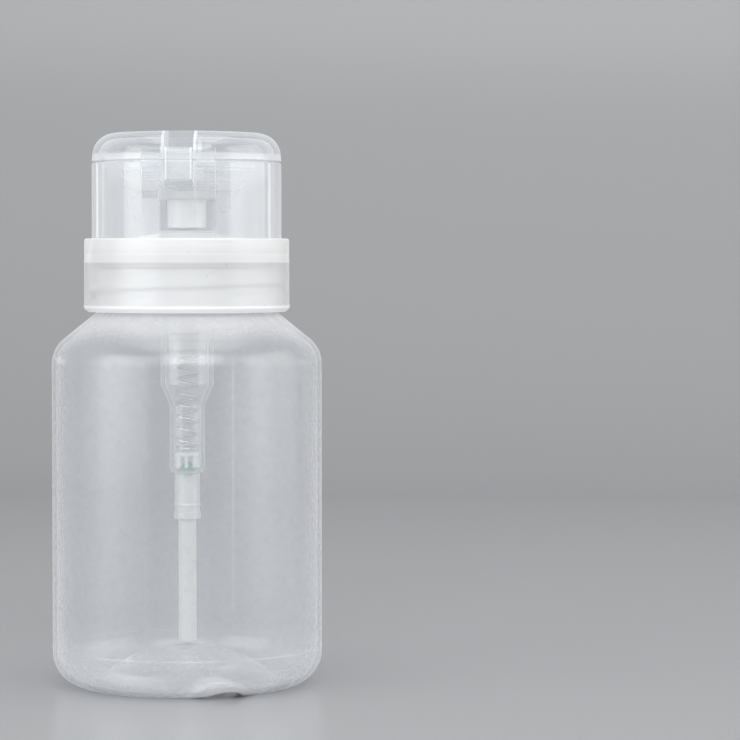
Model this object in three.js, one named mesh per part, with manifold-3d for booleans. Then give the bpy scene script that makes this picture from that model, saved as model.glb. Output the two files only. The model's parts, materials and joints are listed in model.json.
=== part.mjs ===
// Nail polish remover pump: a squat bottle, a screw collar, a guard cup with a flip lid,
// and a push-down dish on a spring pump. Millimetres, +Z up, the origin is the centre of
// the base, and the lid's hinge is at the back, on the -Y side.
import * as THREE from 'three';
import { mergeVertices } from 'three/addons/utils/BufferGeometryUtils.js';
import Module from 'manifold-3d';

const wasm = await Module();
wasm.setup();

// Fits and cutters
const clearance = 0.3; // between pieces that seat on or run in one another
const overrun = 2; // how far a cutter passes the piece that it cuts
const weld = 1e-4; // corners closer than this are one corner

// Roundness, in sides of a full circle
const largeSides = 40;
const smallSides = 20;
const ballSides = 16;
const holeSides = 12;

// Bottle
const bodyRadius = 31.1;
const bottleWall = 1;
const heelRadius = 8;
const standWidth = 1.6; // the flat ring that it stands on
const pushUpWidth = 2.5; // from the flat ring to the foot of the base's dome
const pushUpRise = 1.8; // of the dome's foot
const domeRise = 6.4; // of the dome's top above its foot
const shoulderRadius = 7.5;
const shoulderSlope = THREE.MathUtils.degToRad(39);
const shoulderTop = 86.2; // where the shoulder runs into the neck
const neckRadius = 20.4;
const neckWall = 1.8;
const neckTop = 96;
const notchWidth = 9.7; // the small arch in the heel
const notchRise = 1.7;
const notchDepth = 10; // from the body's side inwards
const notchTurn = THREE.MathUtils.degToRad(24); // from the hinge side towards +X

// Screw thread of the neck and the collar
const threadPitch = 4.2;
const threadTurns = 1.25;
const threadRoot = 2; // width at the wall
const threadCrest = 1; // width at the crest
const neckThreadHeight = 1.1;
const collarThreadHeight = 1.15;
const threadCrestGap = 0.55; // from the neck's crest to the collar's wall
const threadFlankGap = 0.35;
const threadDrop = 6.6; // from the neck's top to the middle of its thread's lower end
const threadSink = 0.4; // how far its root lies inside the wall
const threadFadeShare = 0.12; // of its length, at each end

// Collar
const collarWall = 1.6;
const collarSkirt = 11.5; // below the deck
const collarRim = 3.8; // above the deck
const deckThickness = 1.5;
const collarHeelRadius = 1.3;
const collarEdge = 0.5;
const gasketThickness = 0.9;
const gasketLap = 0.8; // past the neck's rim on both sides

// Guard cup
const cupHeight = 20.7;
const cupWall = 1.45;
const cupFloorThickness = 1.3;
const cupFloorRise = 3.1; // top of the floor at the wall, above the cup's foot
const cupConeRadius = 13;
const cupConeRise = 0.6; // from the wall to the cone's edge
const guideConeRise = 1; // from the cone's edge to the guide hub
const guideHubRadius = 6.5;
const guideHubRise = 0.6;
const snapBeadRise = 0.4;
const snapBeadWidth = 0.9;
const snapBeadLift = 0.9; // above the cup's foot
const panelWidth = 16.6; // the flat hinge panel
const panelHeight = 8.3;
const panelProud = 0.25;

// Lid
const seamGap = 0.4;
const lidHeight = 7;
const lidCorner = 5.2;
const lidDraft = 0.15;
const lidCrown = 0.5;
const lidWall = 1.4;
const lidRimHeight = 1.5; // the thick rim
const plugWidth = 1; // the ring that centres the lid in the cup
const plugDepth = 1.8; // below the lid's edge
const plugGap = 0.4;
const padInnerRise = 2; // the hinge pad on the lid, at the strap
const padOuterRise = 2.6; // and at its outer ends
const channelReach = 13.2; // the strap's channel, from the lid's back inwards
const channelFloor = 1.8; // above the lid's edge
const channelWall = 0.9;
const tabRadius = 13.5; // the thumb tab
const tabProud = 2.35;
const tabThickness = 1.2;

// Butterfly hinge
const strapWidth = 6;
const strapThickness = 0.5;
const slotDepth = 0.7; // of the strap's slot in the panel and the lid's pad
const strapDrop = 4.1; // below the cup's rim
const strapLap = 2.3; // over the channel's floor
const leafGap = 1; // from the strap to a leaf
const leafThickness = 0.45;
const leafDrop = 1.2; // below the cup's rim
const leafRise = 1.8; // above the lid's edge
const foldDepthShare = 0.45; // of a leaf's thickness

// Dish
const pressStroke = 6.8;
const strokeMargin = 0.4; // left over when the dish is fully down
const dishSkirtRadius = 4.45;
const guideGap = 0.4; // from the skirt to the guide hub's bore
const dishHubRadius = 6.7;
const dishHubHeight = 2.2;
const dishWall = 1.3;
const dishGap = 2; // from the dish's edge to the cup's bore
const dishRingWidth = 2.9; // from the edge to the slope
const dishSlopeWidth = 3.6;
const dishSlopeRise = 2;
const dishRimHeight = 0.9;
const dishRimWidth = 0.6;

// Nozzle and outlet valve
const nozzleRadius = 3.8;
const nozzleHeight = 5.2;
const nozzleCrown = 0.9;
const nozzleWall = 1.1;
const spigotRadius = 2.15;
const spigotDepth = 1.7;
const outletBore = 1.55;
const outletHoleRadius = 0.5;
const outletHoleCircle = 1.6;
const outletHoles = 4;
const outletBallRadius = 1.2;

// Stem and piston
const stemRadius = 2.9;
const stemBore = 1.4;
const stemSeatBore = 0.9;
const stemSeatLength = 1;
const stemSeatMouth = 0.6;
const pistonHeight = 4.6;
const pistonFloor = 1.1;
const pistonLip = 0.8;
const pistonWaist = 4.3;
const pistonPort = 1.7;

// Pump housing
const barrelBore = 5.05;
const barrelWall = 1.1;
const barrelFloor = 69.3; // lower end of the straight bore
const flangeRadius = 8.6;
const flangeThickness = 1;
const pumpGasketThickness = 0.7; // the washer under the flange
const mouthDepth = 5.4; // the wider bore at the top
const mouthBore = 5.6;
const lowerBore = 3.1;
const lowerWall = 0.95;
const coneHeight = 4.7;
const lowerFloor = 49.9;
const lowerFloorThickness = 0.9;
const ballPocket = 2.2;
const ballPocketDepth = 1;
const seatPort = 1.2;
const seatPortLength = 0.7;
const nippleWall = 0.55;
const nippleLength = 10.7;
const nippleBead = 0.15;
const nippleBeadWidth = 1.5;

// Housing cap
const capLength = 16.8;
const capFlange = 1.7;
const capSleeveRadius = 4.3;
const capSleeveLength = 10.4;

// Inlet ball and its cage
const inletBallRadius = 1.8;
const ballLift = 1;
const cageRingThickness = 0.8;
const cagePort = 1.3;
const cageLegs = 4;
const cageLegWidth = 0.9;
const cageLegDepth = 0.5;
const cageLegInset = 0.05; // from the ring's outer edge

// Return spring
const springRadius = 2.35; // to the middle of the wire
const wireDiameter = 0.6;
const springTurns = 9;
const endPitch = 1.1; // of the first and the last curl
const springSteps = 8;
const wireSides = 5;

// Dip tube
const dipTubeRadius = 2.05;
const dipTubeWall = 0.7;
const dipTubeGap = 0.8; // from its end to the middle of the base

// Heights that follow from the sizes above
const threadStart = neckTop - threadDrop;
const gasketBottom = neckTop + clearance;
const deckBottom = gasketBottom + gasketThickness + clearance;
const deckTop = deckBottom + deckThickness;
const collarBottom = deckBottom - collarSkirt;
const collarTop = deckTop + collarRim;
const cupFoot = deckTop + clearance;
const cupTop = cupFoot + cupHeight;
const cupFloorTop = cupFoot + cupFloorRise;
const flangeBottom = cupFoot + pumpGasketThickness + clearance;
const flangeTop = flangeBottom + flangeThickness;
const guideHubTop = cupFloorTop + cupConeRise + guideConeRise + guideHubRise;
const mouthFloor = flangeTop - mouthDepth;
const capFlangeBottom = mouthFloor + clearance;
const capTop = capFlangeBottom + capFlange;
const capBottom = capTop - capLength;
const pistonTop = capBottom - clearance;
const pistonBottom = pistonTop - pistonHeight;
const stemBottom = pistonBottom + pistonFloor + clearance;
const dishHubBottom = guideHubTop + pressStroke + strokeMargin;
const dishSkirtBottom = capTop + pressStroke + strokeMargin;
const dishFloorTop = dishHubBottom + dishHubHeight + dishWall;
const nozzleFoot = dishFloorTop + clearance;
const spigotBottom = nozzleFoot - spigotDepth;
const socketTop = spigotBottom - clearance;
const stemTop = socketTop - clearance;
const lidBottom = cupTop + seamGap;
const lidTop = lidBottom + lidHeight;
const channelBottom = lidBottom + channelFloor;

// Radii that follow from the sizes above
const collarBore = neckRadius + neckThreadHeight + threadCrestGap;
const collarRadius = collarBore + collarWall;
const cupRadius = collarBore - clearance;
const cupBore = cupRadius - cupWall;
const dishRadius = cupBore - dishGap;
const barrelRadius = barrelBore + barrelWall;
const lowerRadius = lowerBore + lowerWall;
const nippleBore = dipTubeRadius + clearance;
const nippleRadius = nippleBore + nippleWall;
const stemSocket = stemRadius + clearance;
const hingeFace = cupRadius + panelProud; // how far back the panel's flat face is
const slotWidth = strapWidth + 2 * clearance;
const slotFace = hingeFace - slotDepth;

// Materials
const milkyPlastic = new THREE.MeshStandardMaterial({
  color: '#d9dde2', roughness: 0.35, metalness: 0, transparent: true, opacity: 0.55,
});
const clearPlastic = new THREE.MeshStandardMaterial({
  color: '#e8ebee', roughness: 0.15, metalness: 0, transparent: true, opacity: 0.4,
});
const whitePlastic = new THREE.MeshStandardMaterial({
  color: '#eeeeec', roughness: 0.4, metalness: 0,
});
const springSteel = new THREE.MeshStandardMaterial({
  color: '#c4c6c8', roughness: 0.3, metalness: 1,
});
const greenGlass = new THREE.MeshStandardMaterial({
  color: '#8fc4ae', roughness: 0.05, metalness: 0, transparent: true, opacity: 0.6,
});
const foamLiner = new THREE.MeshStandardMaterial({
  color: '#f2f2ef', roughness: 0.9, metalness: 0,
});

// Merges a geometry's corners and drops the flat triangles that this leaves on the axis.
function welded(geometry) {
  const bare = geometry.clone();
  bare.deleteAttribute('normal');
  bare.deleteAttribute('uv');
  const merged = mergeVertices(bare, weld);
  const index = merged.index.array;
  const kept = [];
  for (let i = 0; i < index.length; i += 3) {
    const [a, b, c] = [index[i], index[i + 1], index[i + 2]];
    if (a !== b && b !== c && c !== a) {
      kept.push(a, b, c);
    }
  }
  merged.setIndex(kept);
  return merged;
}

function solidOf(geometry) {
  const merged = welded(geometry);
  return new wasm.Manifold(new wasm.Mesh({
    numProp: 3,
    vertProperties: merged.attributes.position.array,
    triVerts: Uint32Array.from(merged.index.array),
  }));
}

function geometryOf(solid) {
  const mesh = solid.getMesh();
  const geometry = new THREE.BufferGeometry();
  geometry.setAttribute('position', new THREE.BufferAttribute(mesh.vertProperties, 3));
  geometry.setIndex(new THREE.BufferAttribute(mesh.triVerts, 1));
  geometry.computeVertexNormals();
  return geometry;
}

// Turns an outline of [radius, height] points round the Z axis. It runs anticlockwise with
// the axis on its left, and it either starts and ends on the axis or closes on itself.
function turned(outline, sides) {
  const points = outline.map(([radius, height]) => new THREE.Vector2(radius, height));
  if (outline[0][0] !== 0) {
    points.push(points[0].clone());
  }
  return solidOf(new THREE.LatheGeometry(points, sides).rotateX(Math.PI / 2));
}

// Points of a quarter-like arc, from one angle to another, both measured from +radius.
function arc(centreRadius, centreHeight, radius, from, to, steps) {
  const points = [];
  for (let i = 0; i <= steps; i += 1) {
    const angle = from + ((to - from) * i) / steps;
    points.push([
      centreRadius + radius * Math.cos(angle),
      centreHeight + radius * Math.sin(angle),
    ]);
  }
  return points;
}

function box(xLow, xHigh, yLow, yHigh, zLow, zHigh) {
  const geometry = new THREE.BoxGeometry(xHigh - xLow, yHigh - yLow, zHigh - zLow);
  geometry.translate((xLow + xHigh) / 2, (yLow + yHigh) / 2, (zLow + zHigh) / 2);
  return solidOf(geometry);
}

function disc(radius, bottom, top, sides) {
  return turned([[0, bottom], [radius, bottom], [radius, top], [0, top]], sides);
}

// Skins a row of rings with the same number of points and closes both ends.
function skinned(rings) {
  const sides = rings[0].length;
  const positions = rings.flat().flatMap((point) => [point.x, point.y, point.z]);
  const index = [];
  for (let ring = 0; ring + 1 < rings.length; ring += 1) {
    for (let side = 0; side < sides; side += 1) {
      const a = ring * sides + side;
      const b = ring * sides + ((side + 1) % sides);
      index.push(a, b, b + sides, a, b + sides, a + sides);
    }
  }
  const last = (rings.length - 1) * sides;
  for (let side = 1; side + 1 < sides; side += 1) {
    index.push(0, side + 1, side);
    index.push(last, last + side, last + side + 1);
  }
  const geometry = new THREE.BufferGeometry();
  geometry.setAttribute('position', new THREE.Float32BufferAttribute(positions, 3));
  geometry.setIndex(index);
  return geometry;
}

// A right-hand thread that thins into the wall at both ends. A crest radius below the
// wall's makes an inside thread.
function thread(wallRadius, crestRadius, bottom) {
  const steps = Math.round(largeSides * threadTurns);
  const inward = crestRadius < wallRadius;
  const sink = inward ? threadSink : -threadSink;
  const rings = [];
  for (let i = 0; i <= steps; i += 1) {
    const share = i / steps;
    const fade = Math.min(1, share / threadFadeShare, (1 - share) / threadFadeShare);
    const root = wallRadius + sink;
    const faded = wallRadius + sink / 2;
    const crest = faded + (crestRadius - faded) * fade;
    const middle = bottom + threadPitch * threadTurns * share;
    const section = [
      [root, -threadRoot / 2],
      [root, threadRoot / 2],
      [crest, threadCrest / 2],
      [crest, -threadCrest / 2],
    ];
    if (inward) {
      section.reverse();
    }
    const angle = Math.PI * 2 * threadTurns * share;
    rings.push(section.map(([radius, height]) => new THREE.Vector3(
      radius * Math.cos(angle),
      radius * Math.sin(angle),
      middle + height,
    )));
  }
  return solidOf(skinned(rings));
}

// Bottle

// The outline of the body, drawn in by a wall: none gives the outside.
function bodyOutline(inset, base, neck, top) {
  const heelCentre = bodyRadius - heelRadius;
  const standInner = heelCentre - standWidth;
  const domeFoot = standInner - pushUpWidth;
  const domeRadius = (domeFoot ** 2 + domeRise ** 2) / (2 * domeRise);
  const domeTop = base + pushUpRise + domeRise;
  const domeEdge = Math.acos(domeFoot / domeRadius);
  const shoulderCentre = bodyRadius - shoulderRadius;
  const shoulderEnd = Math.PI / 2 - shoulderSlope;
  const shoulderRun = shoulderCentre + shoulderRadius * Math.cos(shoulderEnd) - neckRadius;
  const shoulderHeight = shoulderTop - shoulderRun * Math.tan(shoulderSlope)
    - shoulderRadius * Math.sin(shoulderEnd);
  const neckFoot = shoulderTop + (neckRadius - neck) * Math.tan(shoulderSlope)
    - inset / Math.cos(shoulderSlope);
  return [
    [0, domeTop],
    ...arc(0, domeTop - domeRadius, domeRadius, Math.PI / 2, domeEdge, 5).slice(1),
    [standInner, base],
    [heelCentre, base],
    ...arc(heelCentre, heelRadius, heelRadius - inset, -Math.PI / 2, 0, 6).slice(1),
    ...arc(shoulderCentre, shoulderHeight, shoulderRadius - inset, 0, shoulderEnd, 4),
    [neck, neckFoot],
    [neck, top],
    [0, top],
  ];
}

function makeBottle() {
  const outside = turned(bodyOutline(0, 0, neckRadius, neckTop), largeSides);
  const neckBore = neckRadius - neckWall;
  const inside = turned(
    bodyOutline(bottleWall, bottleWall, neckBore, neckTop + overrun),
    largeSides,
  );
  const notchRadius = (notchWidth ** 2 / 4 + notchRise ** 2) / (2 * notchRise);
  const outer = bodyRadius + overrun;
  const notch = (radius, depth) => solidOf(new THREE.CylinderGeometry(
    radius, radius, depth, largeSides,
  )
    .translate(0, depth / 2 - outer, notchRise - notchRadius)
    .rotateZ(notchTurn));
  const cut = overrun + notchDepth;
  return outside.subtract(inside)
    .add(notch(notchRadius + bottleWall, cut + bottleWall).intersect(outside))
    .subtract(notch(notchRadius, cut))
    .add(thread(neckRadius, neckRadius + neckThreadHeight, threadStart));
}

// Collar

function makeCollar() {
  const grooveBottom = cupFoot + snapBeadLift - clearance;
  const grooveTop = grooveBottom + snapBeadWidth + 2 * clearance;
  const boss = barrelRadius + clearance;
  const shell = turned([
    [collarBore, collarBottom],
    ...arc(
      collarRadius - collarHeelRadius,
      collarBottom + collarHeelRadius,
      collarHeelRadius,
      -Math.PI / 2,
      0,
      3,
    ),
    [collarRadius, collarTop - collarEdge],
    [collarRadius - collarEdge, collarTop],
    [collarBore, collarTop],
    [collarBore, grooveTop],
    [collarBore + snapBeadRise, grooveTop],
    [collarBore + snapBeadRise, grooveBottom],
    [collarBore, grooveBottom],
    [collarBore, deckTop],
    [boss, deckTop],
    [boss, deckBottom],
    [collarBore, deckBottom],
  ], largeSides);
  // The collar's thread pulls on the underside of the neck's.
  const crossing = (threadRoot + threadCrest) / 2;
  const below = threadStart - crossing - threadFlankGap;
  return shell.add(thread(collarBore, collarBore - collarThreadHeight, below));
}

function makeNeckGasket() {
  const inner = neckRadius - neckWall - gasketLap;
  const outer = neckRadius + gasketLap;
  return turned([
    [inner, gasketBottom],
    [outer, gasketBottom],
    [outer, gasketBottom + gasketThickness],
    [inner, gasketBottom + gasketThickness],
  ], largeSides);
}

// Guard cup

function makeGuardCup() {
  const guideBore = dishSkirtRadius + guideGap;
  const coneTop = cupFloorTop + cupConeRise;
  const hubFoot = flangeTop + clearance;
  const beadBottom = cupFoot + snapBeadLift;
  const beadTop = beadBottom + snapBeadWidth;
  const shell = turned([
    [cupBore, cupFoot],
    [cupRadius, cupFoot],
    [cupRadius, beadBottom],
    [cupRadius + snapBeadRise, beadBottom + snapBeadRise / 2],
    [cupRadius + snapBeadRise, beadTop - snapBeadRise / 2],
    [cupRadius, beadTop],
    [cupRadius, cupTop],
    [cupBore, cupTop],
    [cupBore, cupFloorTop],
    [cupConeRadius, coneTop],
    [guideHubRadius, coneTop + guideConeRise],
    [guideHubRadius, guideHubTop],
    [guideBore, guideHubTop],
    [guideBore, hubFoot],
    [flangeRadius, hubFoot],
    [flangeRadius + clearance, coneTop - cupFloorThickness],
    [cupConeRadius, coneTop - cupFloorThickness],
    [cupBore, cupFloorTop - cupFloorThickness],
  ], largeSides);
  const panel = box(
    -panelWidth / 2,
    panelWidth / 2,
    -hingeFace,
    -cupBore / 2,
    cupTop - panelHeight,
    cupTop,
  ).subtract(disc(cupBore, cupFoot, cupTop + overrun, largeSides));
  const slot = box(
    -slotWidth / 2,
    slotWidth / 2,
    -hingeFace - overrun,
    -slotFace,
    cupTop - strapDrop - clearance,
    cupTop + overrun,
  );
  return shell.add(panel).subtract(slot);
}

// Lid

function lidOutline(inset) {
  const side = cupRadius - lidDraft;
  const centre = side - lidCorner;
  const edgeTop = lidTop - lidCrown;
  return [
    ...arc(centre, edgeTop - lidCorner, lidCorner - inset, 0, Math.PI / 2, 6),
    [centre / 2, lidTop - lidCrown / 4 - inset],
    [0, lidTop - inset],
  ];
}

function makeLid() {
  const plugOuter = cupBore - plugGap;
  const plugInner = plugOuter - plugWidth;
  const rimTop = lidBottom + lidRimHeight;
  const outside = turned([[0, lidBottom], [cupRadius, lidBottom], ...lidOutline(0)], largeSides);
  const inside = turned([
    [0, rimTop],
    [cupRadius - lidDraft - lidWall, rimTop],
    ...lidOutline(lidWall),
  ], largeSides);
  const ring = turned([
    [plugInner, lidBottom - plugDepth],
    [plugOuter, lidBottom - plugDepth],
    [plugOuter, rimTop],
    [plugInner, rimTop],
  ], largeSides);
  const well = disc(plugInner, lidBottom - overrun, rimTop + overrun, largeSides);

  // The pad's upper edge climbs away from the strap on both sides.
  const padHalf = panelWidth / 2;
  const padShape = new THREE.Shape([
    new THREE.Vector2(-padHalf, lidBottom),
    new THREE.Vector2(padHalf, lidBottom),
    new THREE.Vector2(padHalf, lidBottom + padOuterRise),
    new THREE.Vector2(slotWidth / 2, lidBottom + padInnerRise),
    new THREE.Vector2(-slotWidth / 2, lidBottom + padInnerRise),
    new THREE.Vector2(-padHalf, lidBottom + padOuterRise),
  ]);
  const padDepth = hingeFace - plugOuter + lidWall;
  const pad = solidOf(new THREE.ExtrudeGeometry(padShape, { depth: padDepth, bevelEnabled: false })
    .rotateX(Math.PI / 2)
    .translate(0, padDepth - hingeFace, 0))
    .subtract(disc(cupBore, lidBottom - overrun, lidTop, largeSides));

  const channelEnd = channelReach - hingeFace;
  const housing = box(
    -slotWidth / 2 - channelWall,
    slotWidth / 2 + channelWall,
    -cupRadius,
    channelEnd + channelWall,
    channelBottom - channelWall,
    lidTop,
  ).intersect(outside);
  const channel = box(
    -slotWidth / 2,
    slotWidth / 2,
    -hingeFace - overrun,
    channelEnd,
    channelBottom,
    lidTop + overrun,
  );
  const slot = box(
    -slotWidth / 2,
    slotWidth / 2,
    -hingeFace - overrun,
    -slotFace,
    lidBottom - overrun,
    lidTop,
  );

  const tab = disc(tabRadius, lidBottom, lidBottom + tabThickness, largeSides)
    .translate([0, cupRadius + tabProud - tabRadius, 0])
    .subtract(disc(cupBore, lidBottom - overrun, lidTop, largeSides));

  return outside.subtract(inside).subtract(well)
    .add(ring).add(housing).add(pad).add(tab)
    .subtract(channel)
    .subtract(slot);
}

// Butterfly hinge

// Extrudes an outline of [depth behind the axis, height] points across the hinge.
function acrossHinge(outline, xLow, xHigh) {
  const shape = new THREE.Shape(outline.map(([back, height]) => new THREE.Vector2(back, height)));
  const geometry = new THREE.ExtrudeGeometry(shape, {
    depth: xHigh - xLow,
    bevelEnabled: false,
  });
  geometry.rotateX(Math.PI / 2);
  geometry.rotateZ(-Math.PI / 2);
  return solidOf(geometry.translate(xHigh, 0, 0));
}

function makeStrap() {
  const inner = slotFace + clearance;
  const outer = inner + strapThickness;
  const bottom = cupTop - strapDrop;
  const lap = channelBottom + clearance;
  return acrossHinge([
    [outer, bottom],
    [outer, lap],
    [inner, lap + strapThickness],
    [inner - strapLap, lap + strapThickness],
    [inner - strapLap, lap],
    [inner, lap],
    [inner, bottom],
  ], -strapWidth / 2, strapWidth / 2);
}

function makeLeaf(side) {
  const inner = hingeFace + clearance;
  const outer = inner + leafThickness;
  const bottom = cupTop - leafDrop;
  const top = lidBottom + leafRise;
  const fold = (cupTop + lidBottom) / 2;
  const foldDepth = leafThickness * foldDepthShare;
  const near = strapWidth / 2 + leafGap;
  const far = panelWidth / 2;
  return acrossHinge([
    [outer, bottom],
    [outer, fold - foldDepth],
    [outer - foldDepth, fold],
    [outer, fold + foldDepth],
    [outer, top],
    [inner, top],
    [inner, bottom],
  ], side < 0 ? -far : near, side < 0 ? -near : far);
}

// Dish, nozzle and outlet valve

function makeDish() {
  const hubTop = dishFloorTop - dishWall;
  const slopeRadius = dishRadius - dishRingWidth;
  const flatRadius = slopeRadius - dishSlopeWidth;
  const slopeTop = dishFloorTop + dishSlopeRise;
  const rimTop = slopeTop + dishRimHeight;
  const rimInner = dishRadius - dishRimWidth;
  const spigotBore = spigotRadius + clearance;
  return turned([
    [stemSocket, dishSkirtBottom],
    [dishSkirtRadius, dishSkirtBottom],
    [dishSkirtRadius, dishHubBottom],
    [dishHubRadius, dishHubBottom],
    [dishHubRadius, hubTop],
    [flatRadius, hubTop],
    [slopeRadius, slopeTop - dishWall],
    [rimInner, slopeTop - dishWall],
    [dishRadius, slopeTop],
    [dishRadius, rimTop],
    [rimInner, rimTop],
    [rimInner - dishRimWidth, slopeTop],
    [slopeRadius, slopeTop],
    [flatRadius, dishFloorTop],
    [spigotBore, dishFloorTop],
    [spigotBore, socketTop],
    [stemSocket, socketTop],
  ], largeSides);
}

function makeNozzle() {
  const domeFoot = nozzleFoot + nozzleHeight - nozzleCrown;
  const top = nozzleFoot + nozzleHeight;
  const chamberRadius = nozzleRadius - nozzleWall;
  let nozzle = turned([
    [0, top - nozzleWall],
    [nozzleRadius / 2, top - nozzleWall],
    [chamberRadius, domeFoot - nozzleCrown / 2],
    [chamberRadius, nozzleFoot + nozzleWall],
    [outletBore, nozzleFoot + nozzleWall],
    [outletBore, spigotBottom],
    [spigotRadius, spigotBottom],
    [spigotRadius, nozzleFoot],
    [nozzleRadius, nozzleFoot],
    [nozzleRadius, domeFoot - nozzleCrown / 2],
    [nozzleRadius - nozzleCrown / 2, domeFoot + nozzleCrown / 2],
    [nozzleRadius / 2, top],
    [0, top],
  ], smallSides);
  for (let i = 0; i < outletHoles; i += 1) {
    const angle = (Math.PI * 2 * (i + 0.5)) / outletHoles;
    const hole = disc(outletHoleRadius, domeFoot - nozzleWall, top + overrun, holeSides)
      .translate([outletHoleCircle * Math.cos(angle), outletHoleCircle * Math.sin(angle), 0]);
    nozzle = nozzle.subtract(hole);
  }
  return nozzle;
}

function makeBall(radius, centreHeight) {
  return solidOf(new THREE.SphereGeometry(radius, ballSides, ballSides / 2)
    .rotateX(Math.PI / 2)
    .translate(0, 0, centreHeight));
}

// The ball rests on the edge of the stem's narrow bore.
function makeOutletBall() {
  const drop = Math.sqrt(outletBallRadius ** 2 - stemSeatBore ** 2);
  return makeBall(outletBallRadius, stemTop + drop + clearance);
}

// Stem and piston

function makeStem() {
  const seatBottom = stemTop - stemSeatLength;
  return turned([
    [stemBore, stemBottom],
    [stemRadius, stemBottom],
    [stemRadius, stemTop],
    [stemSeatBore, stemTop],
    [stemSeatBore, seatBottom],
    [stemBore, seatBottom - stemSeatMouth],
  ], smallSides);
}

function makePiston() {
  const lipRadius = barrelBore - clearance;
  const lipTaper = lipRadius - pistonWaist;
  const socketFloor = pistonBottom + pistonFloor;
  return turned([
    [pistonPort, pistonBottom],
    [lipRadius, pistonBottom],
    [lipRadius, pistonBottom + pistonLip],
    [pistonWaist, pistonBottom + pistonLip + lipTaper],
    [pistonWaist, pistonTop - pistonLip - lipTaper],
    [lipRadius, pistonTop - pistonLip],
    [lipRadius, pistonTop],
    [stemSocket, pistonTop],
    [stemSocket, socketFloor],
    [pistonPort, socketFloor],
  ], smallSides);
}

// Pump housing

function makeHousing() {
  const coneBottom = barrelFloor - coneHeight;
  const nippleTop = lowerFloor - lowerFloorThickness;
  const nippleBottom = nippleTop - nippleLength;
  const seatTop = lowerFloor - ballPocketDepth;
  const seatBottom = seatTop - (ballPocket - seatPort);
  const shoulder = seatBottom - seatPortLength;
  const beadRadius = nippleRadius + nippleBead;
  return turned([
    [nippleBore, nippleBottom],
    [beadRadius, nippleBottom],
    [beadRadius, nippleBottom + nippleBeadWidth],
    [nippleRadius, nippleBottom + nippleBeadWidth + nippleBead],
    [nippleRadius, nippleTop],
    [lowerRadius - lowerWall / 2, nippleTop],
    [lowerRadius, nippleTop + lowerWall],
    [lowerRadius, coneBottom],
    [barrelRadius, barrelFloor],
    [barrelRadius, flangeBottom],
    [flangeRadius, flangeBottom],
    [flangeRadius, flangeTop],
    [mouthBore, flangeTop],
    [mouthBore, mouthFloor],
    [barrelBore, mouthFloor],
    [barrelBore, barrelFloor],
    [lowerBore, coneBottom],
    [lowerBore, lowerFloor],
    [ballPocket, lowerFloor],
    [ballPocket, seatTop],
    [seatPort, seatBottom],
    [seatPort, shoulder],
    [nippleBore, shoulder],
  ], smallSides);
}

// The washer under the housing's flange, on the collar's deck
function makePumpGasket() {
  const inner = barrelRadius + clearance;
  return turned([
    [inner, cupFoot],
    [flangeRadius, cupFoot],
    [flangeRadius, cupFoot + pumpGasketThickness],
    [inner, cupFoot + pumpGasketThickness],
  ], smallSides);
}

// The cap closes the housing round the stem and stops the piston at the top.
function makeHousingCap() {
  const plugRadius = barrelBore - clearance;
  const sleeveTop = capBottom + capSleeveLength;
  return turned([
    [stemSocket, capBottom],
    [capSleeveRadius, capBottom],
    [capSleeveRadius, sleeveTop],
    [plugRadius, sleeveTop + plugRadius - capSleeveRadius],
    [plugRadius, capFlangeBottom],
    [mouthBore - clearance, capFlangeBottom],
    [mouthBore - clearance, capTop],
    [stemSocket, capTop],
  ], smallSides);
}

// Inlet ball and its cage

// The ball's rest on a 45 degree cone, at the running gap.
const inletSeatApex = lowerFloor - ballPocketDepth - ballPocket;
const inletBallHeight = inletSeatApex + (inletBallRadius + clearance) * Math.SQRT2;
const cageRingBottom = inletBallHeight + inletBallRadius + ballLift + clearance;
const cageTop = cageRingBottom + cageRingThickness;

function makeBallCage() {
  const outer = lowerBore - clearance;
  let cage = turned([
    [cagePort, cageRingBottom],
    [outer, cageRingBottom],
    [outer, cageTop],
    [cagePort, cageTop],
  ], smallSides);
  for (let i = 0; i < cageLegs; i += 1) {
    const leg = box(
      outer - cageLegInset - cageLegDepth,
      outer - cageLegInset,
      -cageLegWidth / 2,
      cageLegWidth / 2,
      lowerFloor + clearance,
      cageTop,
    ).rotate([0, 0, (360 * (i + 0.5)) / cageLegs]);
    cage = cage.add(leg);
  }
  return cage;
}

// Return spring

// Height along the spring: tighter in the first and the last curl.
function springHeight(turn, bottom, top) {
  const middlePitch = (top - bottom - 2 * endPitch) / (springTurns - 2);
  if (turn < 1) {
    return bottom + endPitch * turn;
  }
  if (turn > springTurns - 1) {
    return top - endPitch * (springTurns - turn);
  }
  return bottom + endPitch + middlePitch * (turn - 1);
}

function springRings() {
  const wireRadius = wireDiameter / 2;
  const bottom = cageTop + clearance + wireRadius;
  const top = pistonBottom - clearance - wireRadius;
  const rings = [];
  for (let i = 0; i <= springTurns * springSteps; i += 1) {
    const turn = i / springSteps;
    const angle = Math.PI * 2 * turn;
    const height = springHeight(turn, bottom, top);
    const ring = [];
    for (let side = 0; side < wireSides; side += 1) {
      const round = (Math.PI * 2 * side) / wireSides;
      const radius = springRadius + wireRadius * Math.cos(round);
      ring.push(new THREE.Vector3(
        radius * Math.cos(angle),
        radius * Math.sin(angle),
        height - wireRadius * Math.sin(round),
      ));
    }
    rings.push(ring);
  }
  return rings;
}

// The least distance between points of the wire that are half a curl or more apart.
function leastGap(rings) {
  let least = Infinity;
  for (let i = 0; i < rings.length; i += 1) {
    for (let j = i + springSteps / 2; j < rings.length; j += 1) {
      for (const from of rings[i]) {
        for (const to of rings[j]) {
          least = Math.min(least, from.distanceTo(to));
        }
      }
    }
  }
  return least;
}

function makeSpring() {
  const rings = springRings();
  console.log(`return spring: least gap to itself ${leastGap(rings).toFixed(2)} mm`);
  return solidOf(skinned(rings));
}

// Dip tube

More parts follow.
